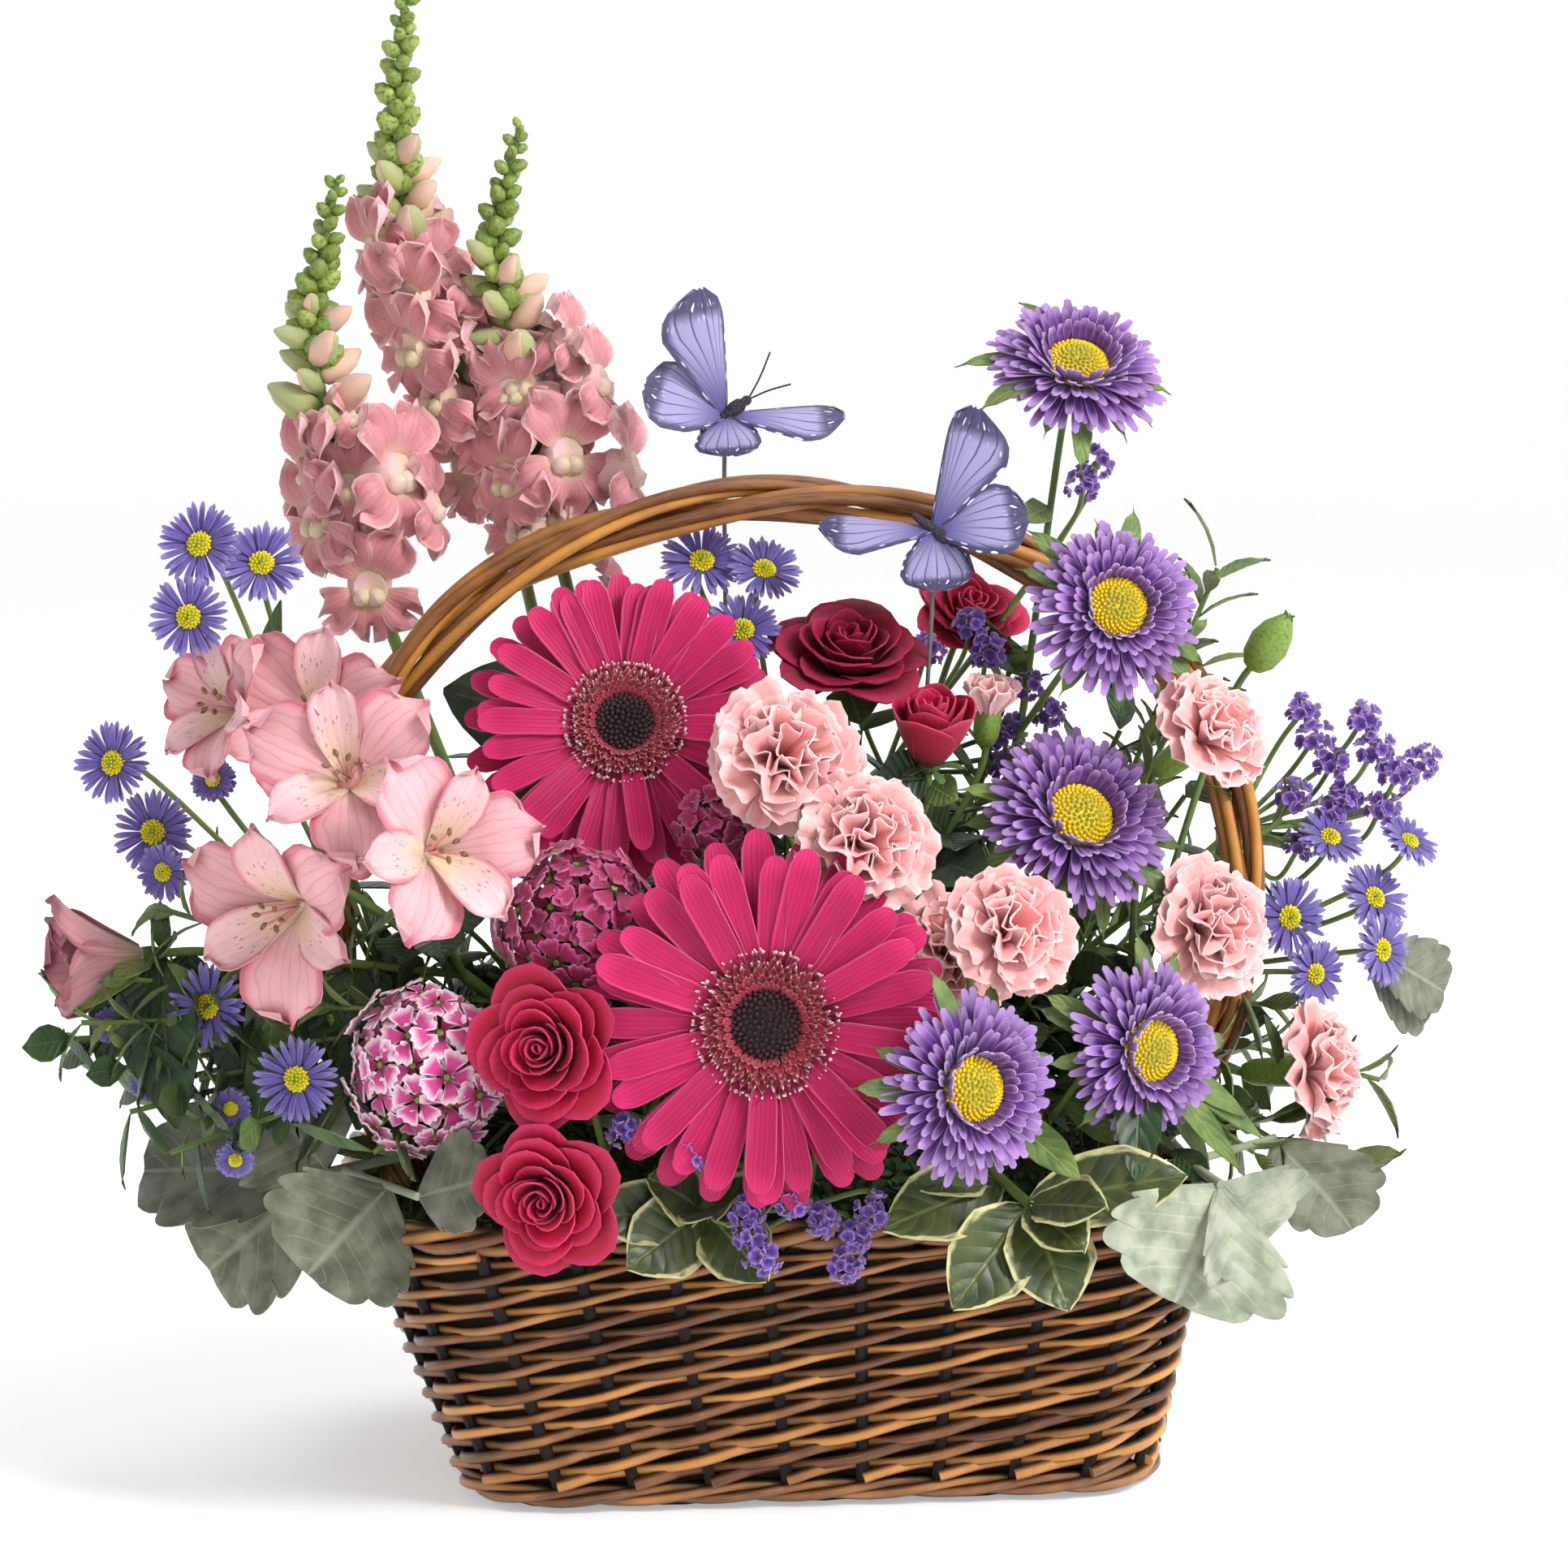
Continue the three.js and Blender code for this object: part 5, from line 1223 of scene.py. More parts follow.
def plant(name, spec, seed):
    heads = headsOf(spec)
    lines = stemPaths(spec, heads)
    paths = [path for path, _, _ in lines]
    stem = [rodsOf(lines, spec.get("stemPaint", "stemGreen"), sides=8, roughen=0.12, lumpSize=9)]
    for shape, width, pixel, depth, faces, *rest in spec.get("leaves", []):
        tip = atPixel(pixel, depth)
        paint = rest[0] if rest else spec.get("leafPaint", "leafGreen")
        stem.append(leafPart(nearestOn(paths, tip), tip, direction(*faces), width, shape, paint,
                             spec.get("wavy", 0.03), dice.uniform(0.2, 0.8)))
    for k, (kind, r, base, facing, _, *rest) in enumerate(heads):
        *_, calyx, make, slot = headKinds[kind]
        own, (node, look, roll) = seed + 50 * k, (rest + [None, {}, 0][len(rest):])
        stem += [standPart(part, base, facing) for part in calyxParts(calyx, r, own)]
        head = standPart(make(r, own, **look), base, facing, roll)
        if not slot:
            stem.append(head)
            continue
        makePiece(camel(node) + "Petals", head, slot, node + "_petals")
        if kind == "gerbera":
            makePiece(camel(node) + "Eye", standPart(gerberaEye(r, own), base, facing), "gerbera_eye", node + "_eye")
    makePiece(camel(name), joinParts(stem), spec.get("slot", "stem_green"), name)


def stamenPaint():
    place, _ = newPaint("stamenPink")
    grain = useGroup("bark", Place=place)
    finishPaint(mixColour(grain["Streaks"], "#e6b8b8", "#c98a92"), Roughness=0.5)


def fleckedPaint():  # the inner petals: a yellow throat with dark dashes
    place, tone = newPaint("alstroFlecked")
    tint = useGroup("petal", Place=place, Tone=tone, Body=colour("#e8b8bc"), Base=colour("#f2dcb4"),
                    Edge=colour("#d07c8a"), Base_Reach=0.7, Edge_Width=0.2, Edge_Tip=0.16, Veins=3.0, Vein_Depth=0.1)
    across, along, _ = splitPlace(place)
    narrow = combine(times(across, 5.0), times(along, 7.0))
    cells = addNode("ShaderNodeTexVoronoi", {"Vector": narrow, "Scale": 1.4}, out="Distance")
    band = softStep(absolute(minus(along, 0.45)), 0.35, 0.25)
    fleck = times(times(softStep(cells, 0.28, 0.18), band), 0.6)
    finishPaint(mixColour(fleck, tint["Color"], "#7a3040"), (tint["Height"], *petalBump), Roughness=0.5,
                Sheen_Weight=0.2)


stamenPaint()
fleckedPaint()

# Heads: kind, width, pixel, depth and facing, then for a piece its node, its look and how it is turned.
# Leaves: shape, width, pixel and depth of the tip, facing and paint.
stems = {
    "gerbera_back_stem": {"foot": (-22, -20), "radius": 2.2,
        "heads": [("gerbera", 94, (770, 892), -46, (-4, 20), "gerbera_back")],
        "leaves": [("broad", 34, (545, 850), -10, (-10, 20), "leafDark"),
                   ("broad", 26, (610, 1010), -20, (-10, 20), "leafDark")]},
    "gerbera_front_stem": {"foot": (-8, -50), "radius": 2.2,
        "heads": [("gerbera", 110, (944, 1262), -106, (-6, 8), "gerbera_front")]},
    "back_rose_stems": {"foot": (14, 2), "fork": (24, -8, 180),
        "heads": [("rose", 44, (1048, 785), -20, (0, 60), "rose_1", {"paint": "roseDark"}),
                  ("rose", 34, (1200, 742), 27, (20, 50), "rose_2"),
                  ("roseBud", 28, (1148, 905), -44, (5, 70), "rose_3")],
        "leaves": [("broad", 16, (1060, 890), -24, (0, 20)), ("plain", 12, (1275, 835), 8, (10, 30)),
                   ("plain", 12, (1178, 985), -50, (0, 10), "asterLeaf"),
                   ("broad", 18, (1080, 965), -44, (0, 20), "leafDark")]},
    "front_rose_stems": {"foot": (-50, -50), "fork": (-66, -72, 112),
        "heads": [("rose", 42, (665, 1293), -108, (-25, 8), "rose_4"),
                  ("rose", 40, (668, 1483), -114, (-20, -5), "rose_5")],
        "leaves": [("broad", 14, (590, 1440), -92, (-20, 20)), ("plain", 12, (745, 1440), -104, (-10, 20))]},
    "middle_carnation_stems": {"foot": (8, -26), "fork": (16, -34, 160),
        "heads": [("carnation", 44, (968, 930), -80, (8, 25), "carnation_1"),
                  ("carnation", 41, (1068, 1035), -91, (12, 20), "carnation_2"),
                  ("openBud", 13, (1218, 880), -30, (20, 75))],
        "leaves": [("plain", 5, (1010, 1000), -50, (0, 40)), ("broad", 20, (1175, 1045), -44, (0, 20), "leafDark"),
                   ("broad", 18, (1145, 1085), -56, (10, 20), "leafDark"),
                   ("broad", 18, (1215, 1080), -60, (-10, 30), "leafDark"),
                   ("broad", 16, (1120, 990), -40, (10, 10), "leafDark")]},
    "inner_carnation_stems": {"foot": (34, -44), "fork": (46, -72, 134),
        "heads": [("carnation", 40, (1180, 1175), -62, (18, 15), "carnation_3"),
                  ("carnation", 40, (1252, 1143), -100, (22, 30), "carnation_4")]},
    "right_carnation_stems": {"foot": (64, -14), "fork": (98, -26, 140),
        "heads": [("carnation", 41, (1500, 1140), -50, (35, 15), "carnation_5"),
                  ("carnation", 38, (1505, 893), -44, (45, 35), "carnation_6"),
                  ("carnation", 40, (1640, 1320), -32, (60, 5), "carnation_7"),
                  ("bud", 13, (1562, 795), -14, (65, 55))],
        "leaves": [("plain", 6, (1560, 1250), -30, (40, 20))]},
    "back_aster_stems": {"foot": (44, 14), "fork": (70, 10, 225),
        "leafPaint": "asterLeaf",
        "heads": [("aster", 56, (1330, 440), 8, (8, 50), "aster_1"),
                  ("aster", 53, (1380, 745), -40, (8, 20), "aster_2")],
        "leaves": [("broad", 14, (1470, 830), -30, (20, 30)), ("plain", 10, (1260, 640), 10, (0, 30))]},
    "middle_aster_stem": {"foot": (40, -14), "leafPaint": "asterLeaf",
        "heads": [("aster", 60, (1335, 1000), -46, (15, 35), "aster_3")],
        "leaves": [("broad", 14, (1330, 1105), -40, (0, 30))]},
    "front_aster_stems": {"foot": (56, -46), "fork": (68, -64, 116),
        "leafPaint": "asterLeaf",
        "heads": [("aster", 54, (1425, 1295), -84, (28, 5), "aster_4"),
                  ("aster", 56, (1205, 1342), -127, (24, 8), "aster_5")],
        "leaves": [("broad", 12, (1330, 1450), -108, (10, 20)),
                   ("broad", 14, (1400, 1455), -100, (0, 30), "leafDark")] +
                  [("broad", 8, pixel, -62 - 4 * (k % 4), (20 - 20 * (k % 2), 30)) for k, pixel in enumerate(
                      [(1515, 1405), (1540, 1375), (1495, 1440), (1530, 1440), (1560, 1400), (1380, 1410),
                       (1300, 1440)])]},
    "alstroemeria_stems": {"foot": (-66, -14), "radius": 2, "fork": (-106, -38, 160),
        "heads": [("alstroemeria", 56, (385, 880), -40, (-20, 15), "alstroemeria_1"),
                  ("alstroemeria", 55, (425, 950), -74, (-10, 28), "alstroemeria_2", {}, 0.5),
                  ("alstroemeria", 60, (345, 1125), -62, (-35, -5), "alstroemeria_3"),
                  ("alstroemeria", 55, (545, 1045), -96, (20, 15), "alstroemeria_4", {}, 0.4),
                  ("alstroemeria", 50, (130, 1178), -30, (-80, 0), "alstroemeria_5", {"look": "closed"}),
                  ("sideAlstro", 46, (272, 868), -26, (-52, 18)), ("sideAlstro", 40, (470, 1010), -60, (10, -20))],
        "leaves": [("plain", 9, (215, 1155), -40, (-20, 40)), ("plain", 13, (310, 1415), -64, (-20, 30)),
                   ("plain", 9, (90, 1245), -36, (-20, 30), "asterLeaf"),
                   ("plain", 9, (140, 1205), -40, (-20, 30), "asterLeaf"),
                   ("broad", 16, (545, 1180), -60, (0, 20), "leafDark"),
                   ("broad", 16, (600, 1090), -50, (0, 20), "leafDark"),
                   ("plain", 7, (195, 1110), -20, (-30, 20)), ("plain", 7, (345, 740), -20, (0, 20))] +
                  [("broad", 21, pixel, depth, (-20 + 8 * (k % 4), 25 - 10 * (k % 3)), "leafDark")
                   for k, (pixel, depth) in enumerate(
                      [((120, 1310), -30), ((180, 1340), -38), ((230, 1290), -28), ((300, 1240), -26),
                       ((215, 1390), -48), ((290, 1350), -40), ((360, 1270), -34), ((330, 1390), -54),
                       ((410, 1320), -50), ((440, 1390), -62), ((400, 1200), -30), ((150, 1260), -22),
                       ((500, 1180), -44), ((450, 1260), -40)])]},
    "monte_left_spray": {"slot": "small_aster", "foot": (-84, 4), "radius": 1.3, "fork": (-124, -18, 142),
        "heads": [("daisy", 26, (245, 670), -18, (-20, 20)), ("daisy", 26, (322, 693), -14, (0, 30)),
                  ("daisy", 26, (188, 1025), -16, (-20, 10)), ("daisy", 26, (255, 1240), -40, (-30, 10)),
                  ("daisy", 26, (365, 1330), -66, (-20, 5)), ("daisy", 25, (232, 760), -24, (-10, 0)),
                  ("daisy", 25, (138, 940), -10, (-30, 10)), ("daisy", 11, (133, 1262), -30, (-30, 20)),
                  ("daisy", 12, (179, 1332), -36, (-30, 10)), ("daisy", 13, (284, 1366), -56, (-10, 10)),
                  ("daisy", 12, (290, 1430), -62, (0, -10)), ("daisy", 14, (262, 960), -20, (-10, 30)),
                  ("daisy", 18, (200, 1075), -26, (-30, 0))]},
    "monte_back_spray": {"slot": "small_aster", "foot": (-6, 22), "radius": 1.3, "fork": (-8, 6, 230),
        "heads": [("daisy", 26, (865, 690), 4, (0, 40)), ("daisy", 24, (942, 700), 0, (10, 45)),
                  ("daisy", 24, (915, 775), -10, (0, 30))]},
    "monte_right_spray": {"slot": "small_aster", "foot": (72, 12), "radius": 1.3, "fork": (116, 18, 146),
        "heads": [("daisy", 26, (1590, 1130), 16, (20, 10)), ("daisy", 24, (1695, 1105), 20, (30, 30)),
                  ("daisy", 24, (1705, 1170), 10, (40, 10)), ("daisy", 22, (1640, 1030), 22, (20, 50)),
                  ("daisy", 22, (1622, 1200), 6, (30, 5)), ("daisy", 20, (1738, 1035), 24, (40, 50))],
        "leaves": [("lobed", 17, (1782, 1222), 26, (20, 10), "feltLeaf"),
                   ("lobed", 14, (1758, 1262), 26, (20, 20), "feltLeaf")]},
    "statice_right_spray": {"slot": "statice", "foot": (66, 34), "radius": 1.2, "fork": (140, 26, 190),
        "heads": [("tuft", 11, pixel, 28 + 3 * (k % 3), (40, 50)) for k, pixel in enumerate(
            [(1602, 880), (1616, 915), (1640, 945), (1676, 892), (1690, 930), (1750, 945), (1720, 960),
             (1700, 1000), (1655, 985), (1590, 985), (1640, 1005), (1600, 1045)])]},
    "statice_middle_spray": {"slot": "statice", "foot": (24, 26), "radius": 1.2, "fork": (30, 30, 210),
        "heads": [("tuft", 11, pixel, 8 + 3 * (k % 4), (10, 50)) for k, pixel in enumerate(
            [(1140, 805), (1195, 775), (1240, 905), (1290, 880), (1075, 845), (1215, 810), (1265, 850), (1230, 945),
             (1130, 985), (1335, 600), (1350, 575)])]},
    "statice_front_spray": {"slot": "statice", "foot": (0, -58), "rise": 5, "radius": 1.2, "fork": (-8, -92, 98),
        "heads": [("tuft", 10, pixel, -103 - 2 * (k % 3), (0, -10)) for k, pixel in enumerate(
            [(920, 1490), (1075, 1490), (938, 1545), (1040, 1555), (1010, 1500), (975, 1480), (1050, 1520),
             (925, 1520), (850, 1420), (770, 1390)])]},
    "sweet_william_left": {"slot": "sweet_william", "foot": (-74, -40),
        "heads": [("william", 60, (500, 1320), -80, (-30, 5), None, {"paint": "williamPink"})]},
    "sweet_william_middle": {"slot": "sweet_william", "foot": (-40, -28),
        "heads": [("william", 54, (700, 1130), -88, (-15, 20), None, {"paint": "williamDark"}),
                  ("william", 24, (885, 1012), -70, (0, 25), None, {"paint": "williamDark"})]},
    "dusty_left_bunch": {"slot": "felt_leaf", "foot": (-84, -26), "rise": 4, "via": [(-112, -32, 107)],
        "fork": (-147, -42, 101), "twigs": [(-122, -88, 103)], "stemPaint": "stemFelt", "leafPaint": "feltLeaf",
        "leaves": [("lobed", 34, (255, 1565), -30, (-30, 20)), ("lobed", 30, (175, 1440), -20, (-20, 40)),
                   ("lobed", 30, (330, 1360), -50, (-20, 30)), ("lobed", 34, (380, 1570), -84, (-10, 10)),
                   ("lobed", 22, (602, 1452), -98, (-10, 35))]},
    "dusty_right_bunch": {"slot": "felt_leaf", "foot": (76, -28), "rise": 4, "via": [(98, -38, 108)],
        "fork": (116, -92, 102), "twigs": [(142, -40, 105)], "stemPaint": "stemFelt", "leafPaint": "mintLeaf",
        "leaves": [("lobed", 42, (1450, 1605), -104, (10, 10)), ("lobed", 36, (1550, 1540), -90, (30, 20)),
                   ("lobed", 27, (1668, 1512), -60, (30, 10), "feltLeaf")]},
    "pittosporum_left_sprig": {"slot": "pittosporum_leaf", "foot": (-28, -58), "rise": 5, "fork": (-38, -92, 98),
        "leafPaint": "pittosporumLeaf", "wavy": 0.06,
        "leaves": [("broad", 25, (775, 1562), -106, (0, 10)), ("broad", 22, (945, 1578), -106, (10, 0)),
                   ("broad", 20, (722, 1500), -100, (-20, 20)), ("broad", 20, (880, 1500), -104, (0, 30)),
                   ("broad", 20, (800, 1450), -98, (0, 40)), ("broad", 18, (960, 1470), -100, (10, 40))]},
    "pittosporum_right_sprig": {"slot": "pittosporum_leaf", "foot": (34, -60), "rise": 5, "fork": (58, -93, 98),
        "leafPaint": "pittosporumLeaf", "wavy": 0.06,
        "leaves": [("broad", 26, (1176, 1612), -110, (0, 10)), ("broad", 27, (1318, 1614), -108, (10, 0)),
                   ("broad", 24, (1462, 1446), -100, (10, 30)), ("broad", 24, (1092, 1512), -108, (-10, 20)),
                   ("broad", 20, (1362, 1486), -114, (10, 40)), ("broad", 20, (1336, 1540), -112, (20, 20)),
                   ("broad", 18, (1130, 1460), -98, (0, 40))]},
}

for name, spec in stems.items():
    plant(name, spec, 100 + 10 * len(headSpots))
print("stems, leaves and heads grown:", len(stems))

# ---- snapdragon spikes

spikes = {  # "zones": where the open florets end, where the green buds begin, in shares of the drawn line
    "snapdragon_left": {"foot": (-70, 26), "depth": 34, "zones": (0.32, 0.5), "size": 24,
        "line": [(445, 680), (430, 620), (385, 420), (400, 300), (415, 225)],
        "florets": [(380, 580, 26, 6), (385, 640, 26, 10), (495, 580, 30, 16), (455, 725, 26, 14),
                    (540, 620, 24, 6)]},
    "snapdragon_tall": {"foot": (-48, 40), "depth": 52, "zones": (0.5, 0.58), "size": 25,
        "line": [(620, 600), (600, 530), (505, 290), (490, 150), (500, -18)],
        "florets": [(455, 310, 24, 6), (500, 370, 26, 14), (500, 430, 26, 12), (530, 490, 26, 12),
                    (575, 350, 22, 4)]},
    "snapdragon_right": {"foot": (-26, 44), "depth": 40, "zones": (0.46, 0.56), "size": 25,
        "line": [(690, 690), (665, 560), (625, 380), (612, 290), (640, 158)],
        "florets": [(640, 470, 22, 10), (710, 420, 22, 6), (745, 465, 24, 8), (620, 590, 26, 12), (700, 560, 28, 16),
                    (785, 575, 28, 8), (640, 650, 26, 14)]},
}


lobes = [  # turn round the mouth, lean, length, width and bend of each lobe
    (30, 56, 1.2, 1.15, (0, -95)), (-30, 56, 1.2, 1.15, (0, -95)), (180, 16, 0.95, 1.0, (20, -105)),
    (122, 22, 1.0, 1.05, (16, -100)), (238, 22, 1.0, 1.05, (16, -100)),
]


def snapFloret(length, size):  # a tube with two lips, and the pale palate between them; +X is up
    r = size * 1.12 / 2  # the lips reach a little past the size that is read off the photograph
    tube = [(0, 0), (0.24 * r, 0.1), (0.36 * r, 0.4 * length), (0.5 * r, 0.8 * length), (0.34 * r, length),
            (0, 0.9 * length)]
    parts = [lathe(tube, 10)]
    for angle, lean, long, wide, bend in lobes:
        lobe = petal(long * r, wide * r, bend=bend, ruffle=0.26 * r, waves=1.7, phase=angle, cup=0.1, rows=8, cols=9)
        turn = Matrix.Rotation(radians(angle), 3, "Z") @ Matrix.Rotation(-radians(lean), 3, "Y")
        out = vec(cos(radians(angle)), sin(radians(angle)), 0) * 0.3 * r
        parts.append(movePart(lobe, turn, out + vec(0, 0, 0.86 * length)))
    hump = lathe([(0, -1), (0.2 * r, -0.4), (0.2 * r, 0.12 * r), (0, 0.26 * r)], 8)
    palate = [movePart(hump, shift=(-0.2 * r, 0.15 * r * side, 0.93 * length)) for side in (-1, 1)]
    return joinParts(parts), joinParts(palate)


def budOf(size, skin):
    return movePart(lathe([(0, skin[0])] + [(r * size, z * size) for r, z in skin[1:]], 8), sideways)


def repaint(part, paint):
    return {**part, "paint": np.full(len(part["sizes"]), paintNumber(paint), np.int32)}


sideways = np.array([[0, 0, 1], [0, -1, 0], [1, 0, 0]])  # turns a shape that grows up +Z to grow along +X, its +X up


def growSpike(name, spec):
    depth = spec["depth"]
    line = [atPixel(pixel, depth) for pixel in spec["line"]]
    path = smoothPath(rootOf(spec["foot"]) + line, 10)
    width = np.interp(np.linspace(0, 1, len(path)), [0, 0.6, 1], [2.0, 2.0, 1.0])
    parts = [rodsOf([(path, width, 0.5)], "stemGreen", sides=8, roughen=0.1)]
    for u, v, size, nearer in spec["florets"]:
        mouth = atPixel((u, v), depth - nearer)
        base = nearestOn([path], mouth - vec(0, 0, 4))
        for shape, paint in zip(snapFloret(np.linalg.norm(mouth - base), size), ("snapPink", "snapLip")):
            parts.append(standPart(repaint(shape, paint), base, mouth - base, up=(0, 0, 1)))
    axis = evenPath(smoothPath(line, 10), 1.5)
    opened, closed = [int(len(axis) * share) for share in spec["zones"]]
    pink, cream = [movePart(shape, sideways) for shape in snapFloret(13, spec["size"])]
    bud = budOf(5.2, [-0.4, (0.42, 0.2), (0.64, 1), (0.45, 1.8), (0.12, 2.3), (0, 2.35)])
    green = budOf(4.6, [-0.3, (0.5, 0.15), (0.7, 0.8), (0.46, 1.5), (0, 1.85)])
    cup = (movePart(lathe([(0, 0), (1.6, 0.4), (2.2, 2.5), (1.8, 4), (0, 4)], 8), sideways), "budGreen")
    zones = [  # a part of the axis, what grows on it, and the numbers for growAlongStem
        (axis[:opened + 4], [(pink, "snapPink"), (cream, "snapLip"), cup], 6.8, 12, 14, 1.0, 0.72, 0.14, 1.2),
        (axis[opened - 4:closed + 12], [(movePart(bud, scale=1.45), "snapCream"), (cup[0], "spikeBud")],
         3.0, 34, 14, 1.05, 0.7, 0.2, 1.0),
        (axis[closed:], [(green, "spikeBud")], 1.8, 36, 12, 1.25, 0.5, 0.14, 0.8),
    ]
    parts += [alongOf([part], *rest, len(axis) + k) for k, (part, *rest) in enumerate(zones)]
    makePiece(camel(name), joinParts(parts), "snapdragon_spike", name)


for name, spec in spikes.items():
    growSpike(name, spec)
print("spikes grown:", len(spikes))

# ---- butterflies

butterflies = {  # pixel, nearness and width of each wing, a negative width being its mirror image
    "butterfly_left": {"foot": (-18, 12), "depth": 16, "tail": (862, 532), "nose": (925, 490),
        "wings": [((862, 356), -2, 31, "front"), ((795, 474), 2, 27, "back"), ((1040, 512), -2, -20, "front"),
                  ((898, 562), 4, 22, "back")]},
    "butterfly_right": {"foot": (28, -10), "depth": -22, "tail": (1122, 632), "nose": (1178, 672),
        "wings": [((1202, 502), -2, -31, "front"), ((1266, 634), 4, 27, "back"), ((1010, 646), -2, 22, "front"),
                  ((1156, 728), 4, 24, "back")]},
}
bodyShape = [(0, 0), (1.0, 0.06), (1.6, 0.3), (1.3, 0.52), (2.3, 0.66), (2.2, 0.8), (1.4, 0.86), (1.6, 0.93),
             (1.0, 0.99), (0, 1)]  # radius, and share of the length
wingShapes = {  # shares along the wing, and its width before and behind its middle line
    "front": ([0, 0.15, 0.4, 0.66, 0.82, 0.93, 1], [0.05, 0.14, 0.24, 0.34, 0.38, 0.33, 0.12],
              [0.05, 0.34, 0.66, 0.98, 0.86, 0.5, 0.14]),
    "back": ([0, 0.15, 0.4, 0.7, 0.86, 0.95, 1], [0.08, 0.42, 0.78, 0.95, 0.82, 0.55, 0.24],
             [0.08, 0.5, 0.85, 0.97, 0.82, 0.55, 0.24]),
}


def wingPart(base, tip, face, width, shape):
    along = tip - base
    normal = unit(face - along * np.dot(face, along) / np.dot(along, along))
    side = unit(np.cross(normal, along))
    t, u = gridOf(15, 9)
    shares, before, behind = wingShapes[shape]
    if width < 0:
        before, behind = behind, before
    half = abs(width) / 2 * np.where(u < 0, np.interp(t, shares, before), np.interp(t, shares, behind))
    lift = 1.2 * np.sin(pi * t) * (1 - u ** 2) + 0.25 * np.sin(14 * u)
    forward = 0.012 * np.linalg.norm(along) * np.cos(9 * u) * (t > 0.9)
    top = base + along * t[..., None] + unit(along) * forward[..., None] + side * (u * half)[..., None]
    return shell(top + normal * lift[..., None], 0.5, "wingLavender")


def makeButterfly(name, spec):
    depth = spec["depth"]
    back, front = atPixel(spec["tail"], depth), atPixel(spec["nose"], depth - 2)
    middle, length = (back + front) / 2, np.linalg.norm(front - back)
    wire = smoothPath(rootOf(spec["foot"]) + [middle + vec(0, 3, -26), middle], 8)
    body = lathe([(r, share * length) for r, share in bodyShape], 12, "butterflyBody")
    ahead = unit(front - back)
    aside = unit(np.cross(ahead, vec(0, -1, 0.4)))
    feelers = []
    for side in (-1, 1):
        bow = front + ahead * 5 + aside * side * 2.5 + vec(0, 0, 1.5)
        end = front + ahead * 11 + aside * side * 6 + vec(0, 0, 3)
        feelers.append((smoothPath([front - ahead, bow, end], 5), 0.3, 0.5))
    parts = [rodsOf([(wire, 0.7, 0.5)], "wire", sides=6, roughen=0), standPart(body, back, front - back),
             rodsOf(feelers, "butterflyBody", sides=5, roughen=0)]
    for pixel, nearer, width, shape in spec["wings"]:
        parts.append(wingPart(middle, atPixel(pixel, depth - nearer), direction(0, 40), width, shape))
    makePiece(camel(name), joinParts(parts), "butterfly", name)


def bodyPaint():
    newPaint("butterflyBody")
    fuzz = noiseAt(1500.0)
    finishPaint(mixColour(softStep(fuzz, 0.35, 0.7), "#17131a", "#4a3f4c"), (fuzz, 0.6, 0.0005), Roughness=0.8)


bodyPaint()
for name, spec in butterflies.items():
    makeButterfly(name, spec)
print("butterflies made")

# ---- leaves that fill in between the stems, and moss round the pot

fill = {  # sprigs stand in a dome: its middle, its reach at the foam and at the tips, and its height
    "sprigs": 130, "middle": (-8, 4), "foot": (66, 50), "reach": (118, 62), "crown": 208, "edge": 104,
    "leaf": (25, 12),
    "clear": 0.75, "smallHead": 12,  # sprigs stay off heads by this share of the radius, but not off small ones
}
sideSprays = [  # pixel and depth of a tip
    ((165, 1290), -32), ((235, 1385), -46), ((150, 1205), -30), ((300, 1190), -34), ((400, 1240), -50),
    ((100, 1260), -36), ((200, 1120), -30), ((1600, 1240), 20), ((1545, 1420), -50), ((1500, 1300), -30),
    ((1700, 1330), 16), ((1480, 820), 6), ((1500, 700), 14), ((1580, 1010), 26), ((1250, 800), 20),
    ((1420, 1110), -20), ((720, 1020), -10), ((470, 1130), -20),
]
leafySprays = [
    ((120, 1320), -34), ((160, 1370), -40), ((210, 1420), -52), ((285, 1395), -60), ((90, 1280), -30),
    ((330, 1290), -48), ((245, 1330), -44), ((180, 1250), -24), ((420, 1180), -30), ((460, 1420), -72),
    ((560, 1230), -40), ((1560, 1380), -30), ((1470, 1440), -70), ((1530, 1220), -10), ((1350, 1190), -30),
    ((1630, 1440), -34), ((300, 1100), 30), ((200, 1250), 34), ((420, 1000), 48), ((600, 900), 52),
    ((800, 1000), 58), ((1000, 1000), 60), ((1200, 1050), 58), ((1350, 1150), 54), ((1480, 1250), 46),
    ((1560, 1330), 30), ((1150, 1010), 6), ((1205, 960), 12), ((1110, 930), 4), ((1285, 1080), -6),
    ((1420, 1210), -26), ((1060, 900), 10), ((1380, 900), 20), ((1460, 980), 14), ((600, 1200), -30),
    ((520, 1100), -30), ((700, 1250), 62), ((900, 1270), 64), ((1100, 1280), 62), ((1280, 1300), 60),
]


def twigPath(foot, tip, out, lift):  # from the foam to a tip, in a soft bow
    surface, lead = footing(*foot)
    start = surface + lead * out
    return smoothPath([surface - lead * 10, start, (start + tip) / 2 + vec(0, 0, lift), tip], 6)


def sprayPath(pixel, depth):
    tip = atPixel(pixel, depth)
    return twigPath((np.clip(tip[0] * 0.6, -84, 72), np.clip(tip[1] * 0.8, -56, 58)), tip, 12, 10)


def clearOfHeads(path):
    return all(np.min(np.linalg.norm(path - spot, axis=1)) > fill["clear"] * r
               for spot, r in headSpots if r > fill["smallHead"])


